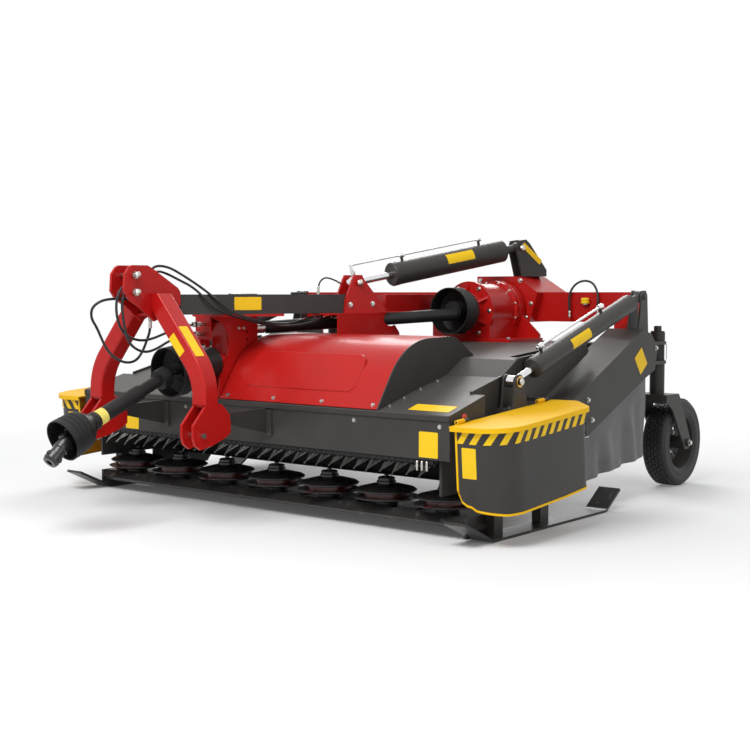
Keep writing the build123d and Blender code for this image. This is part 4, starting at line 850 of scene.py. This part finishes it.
def onSkirt(s, place, way, out, drop):
    flat = place + way * out
    return guardFoot + Vector((s * flat.x, 0, 0)) + guardAcross * flat.y - guardUp * drop


# a skin of the skirt between two depths, standing proud of its outer or inner face
def skirtSkin(work, s, path, low, high, out, thick, levels):
    whole, shell = path[-1][2], ([], [])
    for place, way, run in path:
        bottom, top = low(run, whole), high(run, whole)
        for grid, reach in zip(shell, (out + thick, out)):
            grid.append([work.verts.new(onSkirt(s, place, way, reach, top + (bottom - top) * k / levels))
                         for k in range(levels + 1)])
    shellInto(work, *shell)


# slanted yellow bars under the lip, one sheared bar set out along the run
barShape = {"Bar width": 0.037, "Bar height": 0.064, "Bar depth": 0.0022, "Slant": 0.045}
bars = {"middle": 0.046, "pitch": 0.074, "first": 0.048, "last": 0.03, "proud": 0.0009}


def barTree():
    tree, given = startTree("slantedBars", barShape)
    splits = {"Vertices X": 3, "Vertices Z": 3}
    bar = boxOf(tree, given["Bar width"], given["Bar depth"], given["Bar height"], **splits)
    where = add(tree, "GeometryNodeInputPosition").outputs[0]
    height = add(tree, "ShaderNodeSeparateXYZ", {0: where}).outputs["Z"]
    shift = reckon(tree, "MULTIPLY", reckon(tree, "DIVIDE", height, given["Bar height"]), given["Slant"])
    offset = add(tree, "ShaderNodeCombineXYZ", {0: shift}).outputs[0]
    slanted = add(tree, "GeometryNodeSetPosition", {"Geometry": bar, "Offset": offset}).outputs[0]
    turned = turnedTo(tree, tuple(guardUp), facingOf(tree), "Y")
    return endTree(tree, given, slanted, turned, plateYellow)


# bars set out along the skirt's path, each with its place and the way that it faces
def barPlaces(s, path, out):
    seeds, run = [], bars["first"]
    while run < path[-1][2] - bars["last"]:
        index = max(i for i, entry in enumerate(path[:-1]) if entry[2] <= run)
        (here, wayA, runA), (there, wayB, runB) = path[index], path[index + 1]
        part = (run - runA) / (runB - runA)
        place, way = here.lerp(there, part), wayA.lerp(wayB, part).normalized()
        facing = Vector((s * way.x, 0, 0)) + guardAcross * way.y
        seeds.append((onSkirt(s, place, way, out + bars["proud"], bars["middle"]), facing, 1.0))
        run += bars["pitch"]
    return seeds


stripes = barTree()
path = roundedPath(skirtShape["corners"], skirtShape["radii"])
lipPath = roundedPath(lipShape["corners"], lipShape["radii"])
outer, trim, gap = skirtShape["thick"] + trimShape["proud"], trimShape["width"], liningShape["gap"]
edge = [path[0], (path[0][0].lerp(path[1][0], trim / path[1][2]), path[0][1], trim)]
for name, s in sides:
    body = "guard_" + name
    sheet = (s, path, aboveHem(0), level(0), 0.0, skirtShape["thick"], 12)
    skirt = addSet("skirt_sheet_" + name, skirtSkin, [sheet], body, "dark_paint")
    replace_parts(skirt, "guard_skirt_" + name)
    # a yellow lining on the skirt's inner face; its darker orange tone is painted shade
    lining = (s, path, aboveHem(gap), level(gap), liningShape["behind"], liningShape["thick"], 6)
    addSet("skirt_lining_" + name, skirtSkin, [lining], body, "yellow_paint", guardInnerPaintedShade)
    addSet("guard_trim_" + name, skirtSkin, [
        (s, path, aboveHem(0), aboveHem(trim), outer, trimShape["thick"], 1),
        (s, edge, aboveHem(trim), level(0), outer, trimShape["thick"], 6),
        (s, lipPath, level(lipShape["depth"]), level(0), -lipShape["thick"], lipShape["thick"], 2),
    ], body, "yellow_paint", smooth=35)
    place = onSkirt(s, Vector(skirtPlate["place"]), Vector((0, -1)), outer, skirtPlate["drop"])
    plate = (place, -guardAcross, (s, 0, 0), *skirtPlate["size"])
    addSet("skirt_plate_" + name, plateInto, [plate], body, "yellow_paint", plateYellow)
    addGrown("skirt_stripes_" + name, barPlaces(s, path, outer), stripes, body, 0,
             {"Slant": -s * barShape["Slant"]})
print("guards dressed")

# side curtains that hang from the arms and wave below them
curtainShape = {"across": 1434.5, "thick": 4, "from": 880, "run": 815, "columns": 96, "rows": 40,
                "held": 12, "loose": 190, "lean": 160}
curtainWaves = {"wide": {"by": 12.54, "length": 270, "climb": 0.35, "start": 0.8},
                "small": {"by": 6.46, "length": 143, "start": 2.1}}
curtainOutline = [(880, 168), (880, 424), (1030, 424), (1030, 470), (1690, 742), (1700, 250)]
curtainTop = [(880, 424), (1029, 424), (1030, 470), (1690, 742), (1700, 742)]
curtainHem = [(880, 168), (1700, 250)]
armLine = [(900, 370), (1040, 400), (1700, 690)]


def lineHeight(line, y):
    for (y0, z0), (y1, z1) in zip(line, line[1:]):
        if y0 <= y <= y1:
            return z0 + (z1 - z0) * (y - y0) / (y1 - y0)
    return line[0][1] if y < line[0][0] else line[-1][1]


# how far the curtain sways outward, in millimetres, more the further it hangs below the arm
def sway(y, z):
    below = lineHeight(armLine, y) - z - curtainShape["held"]
    wide, small = curtainWaves["wide"], curtainWaves["small"]
    wideTurn = 2 * math.pi * (y + wide["climb"] * z) / wide["length"] + wide["start"]
    smallTurn = 2 * math.pi * y / small["length"] + z / curtainShape["lean"] + small["start"]
    return min(1.0, max(0.0, below / curtainShape["loose"])) * (
        wide["by"] * math.sin(wideTurn) + small["by"] * math.sin(smallTurn))


def curtainGrid(work, s, face):
    grid = []
    for column in range(curtainShape["columns"] + 1):
        y = curtainShape["from"] + curtainShape["run"] * column / curtainShape["columns"]
        top, hem = lineHeight(curtainTop, y), lineHeight(curtainHem, y)
        heights = [top + (hem - top) * row / curtainShape["rows"] for row in range(curtainShape["rows"] + 1)]
        across = curtainShape["across"] + face * curtainShape["thick"]
        grid.append([work.verts.new(spot(s * (across + sway(y, z)), y, z)) for z in heights])
    return grid


# the area of the flat outline, in square metres
ring = zip(curtainOutline, curtainOutline[1:] + curtainOutline[:1])
curtainArea = abs(sum(y0 * z1 - y1 * z0 for (y0, z0), (y1, z1) in ring)) / 2 / 1e6
for name, s in sides:
    work = bmesh.new()
    inner = curtainGrid(work, s, -0.5)
    shellInto(work, curtainGrid(work, s, 0.5), inner)
    curtain = addMade("curtain_" + name, work, "lift_frame", "curtain")
    if s > 0:
        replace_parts(curtain, "side_curtains")
print("curtains hung, each", round(curtainArea, 3), "square metres")

# tyres: a turned carcass with plain walls, and tread blocks set round it
tyreShape = {"Block length": 0.030, "Block width": 0.0185, "Block height": 0.009}
treadRows = {"blocks": 48, "foot": 0.2745, "edgeFoot": 0.2738,
             "rows": ((-0.046, 0.12), (-0.023, -0.12), (0.0, 0.12), (0.023, -0.12), (0.046, 0.12))}
halfWall = [(175, -66), (184, -74), (197, -77.5), (200, -79), (203, -78), (222, -79), (236, -78.6),
            (238, -79.6), (242, -79.4), (252, -77), (262, -73), (268, -66), (271, -56), (272, -36)]


# the other half of a profile that is the same both ways about a middle
def mirrored(profile, middle=0.0):
    return profile + [(r, 2 * middle - a) for r, a in reversed(profile)]


def treadTree():
    tree, given = startTree("treadBlocks", tyreShape)
    block = boxOf(tree, given["Block width"], given["Block length"], given["Block height"])
    turned = turnedTo(tree, facingOf(tree), (1.0, 0.0, 0.0), "X")
    spin = add(tree, "FunctionNodeAxisAngleToRotation", {"Axis": (0.0, 0.0, 1.0), "Angle": sizeOf(tree)})
    both = add(tree, "FunctionNodeRotateRotation", {"Rotation": turned, "Rotate By": spin.outputs[0]},
               rotation_space="LOCAL")
    return endTree(tree, given, block, both.outputs[0], paints["tyre"])


tread = treadTree()
wall = mirrored(halfWall)
for name, s in sides:
    body, hub = "wheel_" + name, spot(s * 1335, 2270, 280)
    work = bmesh.new()
    turnInto(work, hub, rightward, wall + wall[:1], 96)
    bmesh.ops.remove_doubles(work, verts=work.verts, dist=1e-6)
    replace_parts(addMade("tyre_rubber_" + name, work, body, "tyre", smooth=35), "tyre_" + name)
    seeds = []
    for row, (across, turn) in enumerate(treadRows["rows"]):
        foot = treadRows["edgeFoot"] if row in (0, len(treadRows["rows"]) - 1) else treadRows["foot"]
        first = math.pi / treadRows["blocks"] if row % 2 else 0
        for t in turnsOf(treadRows["blocks"], first):
            out = swung(rearward, upward, t)
            seeds.append((hub + rightward * across + out * foot, out, turn))
    addGrown("tyre_tread_" + name, seeds, tread, body, 0)
print("tyres made")

# conditioner: a tube with rows of V tines swept round it
rotorShape = {"Tine length": 0.098, "Tine thickness": 0.009, "Tine tip": 0.0032, "Tine spread": 0.42}
rotor = {"centre": spot(0, 225, 445), "half": 1.24, "tube": 62, "rows": 8, "perRow": 40, "stagger": 0.08,
         "sunk": 0.003}


def tineTree():
    tree, given = startTree("vTines", rotorShape)
    leg = coneOf(tree, given["Tine tip"], given["Tine thickness"], given["Tine length"])
    legs = []
    for sign in (1.0, -1.0):
        lean = reckon(tree, "MULTIPLY", given["Tine spread"], sign)
        turn = add(tree, "ShaderNodeCombineXYZ", {1: lean}).outputs[0]
        legs.append(moved(tree, leg, Rotation=add(tree, "FunctionNodeEulerToRotation", {0: turn}).outputs[0]))
    turned = turnedTo(tree, facingOf(tree), (1.0, 0.0, 0.0), "X")
    return endTree(tree, given, joined(tree, legs), turned, tineSteel)


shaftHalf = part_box("conditioner_rotor")[1][0]
tubeEnd = [(0, 0), (22, 0), (24, 2), (24, 40), (rotor["tube"] - 4, 40), (rotor["tube"], 44)]
tube = (rotor["centre"] - rightward * shaftHalf, rightward, mirrored(tubeEnd, shaftHalf * 1000), 40)
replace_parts(addSet("rotor_tube", turnInto, [tube], "conditioner", "dark_paint"), "conditioner_rotor")
seeds = []
for row in range(rotor["rows"]):
    for step in range(rotor["perRow"]):
        t = 2 * math.pi * (row + rotor["stagger"] * (step % 3 - 1)) / rotor["rows"]
        out = swung(rearward, upward, t)
        across = rotor["half"] * (2 * (step + 0.5 * (row % 2)) / rotor["perRow"] - 1)
        foot = rotor["centre"] + rightward * across + out * (rotor["tube"] / 1000 - rotor["sunk"])
        seeds.append((foot, out, 1.0))
addGrown("rotor_tines", seeds, tineTree(), "conditioner")
print("conditioner made:", len(seeds), "tines")

# the shaft's joint: fork ears, the cross between them and the collar's balls
yokeUp = rightward.cross(yokeRun)
forkEar = {"size": (0.062, 0.040, 0.014), "edge": 0.006, "ahead": 0.028, "apart": 0.040, "cap": 0.030}
collar = {"ahead": 0.157, "radius": 0.040, "balls": 3, "first": 0.5}
bandShape = {"run": 0.512, "radius": 0.0412, "length": 0.048, "sweep": 359.9}
earCap = [(0, 0), (15, 0), (15, 20), (12, 23), (0, 23)]
crossEnd = [(0, 0), (11, 0), (11, 44), (15, 45), (15, 53), (12, 55), (0, 55)]
collarBall = [(0, 0), (10, 0), (10, 5), (7, 8), (0, 9)]
work = bmesh.new()
for turn in (-1, 1):
    ear = frontCentre + yokeRun * forkEar["ahead"] + yokeUp * turn * forkEar["apart"]
    blockInto(work, ear, yokeRun, rightward, forkEar["size"], forkEar["edge"])
    turnInto(work, frontCentre + yokeUp * turn * forkEar["cap"], yokeUp * turn, earCap, 20)
    turnInto(work, frontCentre, rightward * turn, crossEnd, 20)
for t in turnsOf(collar["balls"], collar["first"]):
    out = swung(rightward, yokeUp, t)
    turnInto(work, frontCentre + yokeRun * collar["ahead"] + out * collar["radius"], out, collarBall, 16)
addMade("yoke_fork", work, "pto_yoke_body", "dark_paint", paints["black_steel"], 30)
band = (shaftJoint + shaftRun * bandShape["run"], shaftRun, bandShape["radius"], bandShape["length"],
        rightward, bandShape["sweep"])
addSet("tube_band", wrapInto, [band], "pto_outer", "black_plastic", paleYellow)


# 1 where the camera, a reflection or a clear body looks straight at the stage
def seenStraight(tree):
    sight = add(tree, "ShaderNodeLightPath").outputs
    seen = reckon(tree, "ADD", sight["Is Camera Ray"], sight["Is Glossy Ray"])
    return reckon(tree, "ADD", seen, sight["Is Transmission Ray"], use_clamp=True)


# mixes two shaders and ends a stage material or the world with them
def endShader(tree, kind, share, first, second):
    mixed = add(tree, "ShaderNodeMixShader", {0: share, 1: first.outputs[0], 2: second.outputs[0]})
    tree.links.new(mixed.outputs[0], add(tree, kind).inputs[0])


# floor, world and lamps
stage = {"floor": (0.90, 0.90, 0.90), "near": 1.7, "far": 5.0, "nearMix": 0.05, "half": 60,
         "sky": (0.95, 0.97, 1.0), "skyPower": 0.42}
floorMaterial = bpy.data.materials.new("paleFloor")
floorMaterial.use_nodes = True
tree = floorMaterial.node_tree
tree.nodes.clear()
matte = add(tree, "ShaderNodeBsdfDiffuse", {"Color": (*stage["floor"], 1)})
white = add(tree, "ShaderNodeEmission", {"Color": (1, 1, 1, 1), "Strength": 1.0})
where = add(tree, "ShaderNodeTexCoord").outputs["Object"]
reach = add(tree, "ShaderNodeVectorMath", {0: where}, operation="LENGTH").outputs["Value"]
fade = ranged(tree, reach, stage["near"], stage["far"], stage["nearMix"])
endShader(tree, "ShaderNodeOutputMaterial", reckon(tree, "MULTIPLY", fade, seenStraight(tree)), matte, white)
work = bmesh.new()
bmesh.ops.create_grid(work, x_segments=12, y_segments=12, size=stage["half"])
floorMesh = bpy.data.meshes.new("floor")
work.to_mesh(floorMesh)
work.free()
floorMesh.materials.append(floorMaterial)
placed("floor", floorMesh)

world = bpy.data.worlds.new("studio")
bpy.context.scene.world = world
world.use_nodes = True
tree = world.node_tree
tree.nodes.clear()
soft = add(tree, "ShaderNodeBackground", {"Color": (*stage["sky"], 1), "Strength": stage["skyPower"]})
plain = add(tree, "ShaderNodeBackground", {"Color": (1, 1, 1, 1), "Strength": 1.0})
endShader(tree, "ShaderNodeOutputWorld", seenStraight(tree), soft, plain)

lamps = {
    "key": {"place": (1.0, -4.5, 5.5), "aim": (0, 0, 0.6), "size": (4.0, 3.0), "power": 340},
    "fill": {"place": (6.5, -1.0, 3.0), "aim": (0, 0, 0.8), "size": (3.0, 3.0), "power": 50},
    "back": {"place": (-3.0, 5.0, 4.5), "aim": (0, 0, 0.8), "size": (4.0, 3.0), "power": 250},
}
for name, lamp in lamps.items():
    light = bpy.data.lights.new(name, "AREA")
    light.shape = "RECTANGLE"
    light.size, light.size_y = lamp["size"]
    light.energy = lamp["power"]
    lampObj = placed(name, light)
    lampObj.location = lamp["place"]
    lampObj.rotation_euler = (Vector(lamp["aim"]) - Vector(lamp["place"])).to_track_quat("-Z", "Y").to_euler()
bpy.context.scene.view_settings.view_transform = "Standard"
print("stage lit")
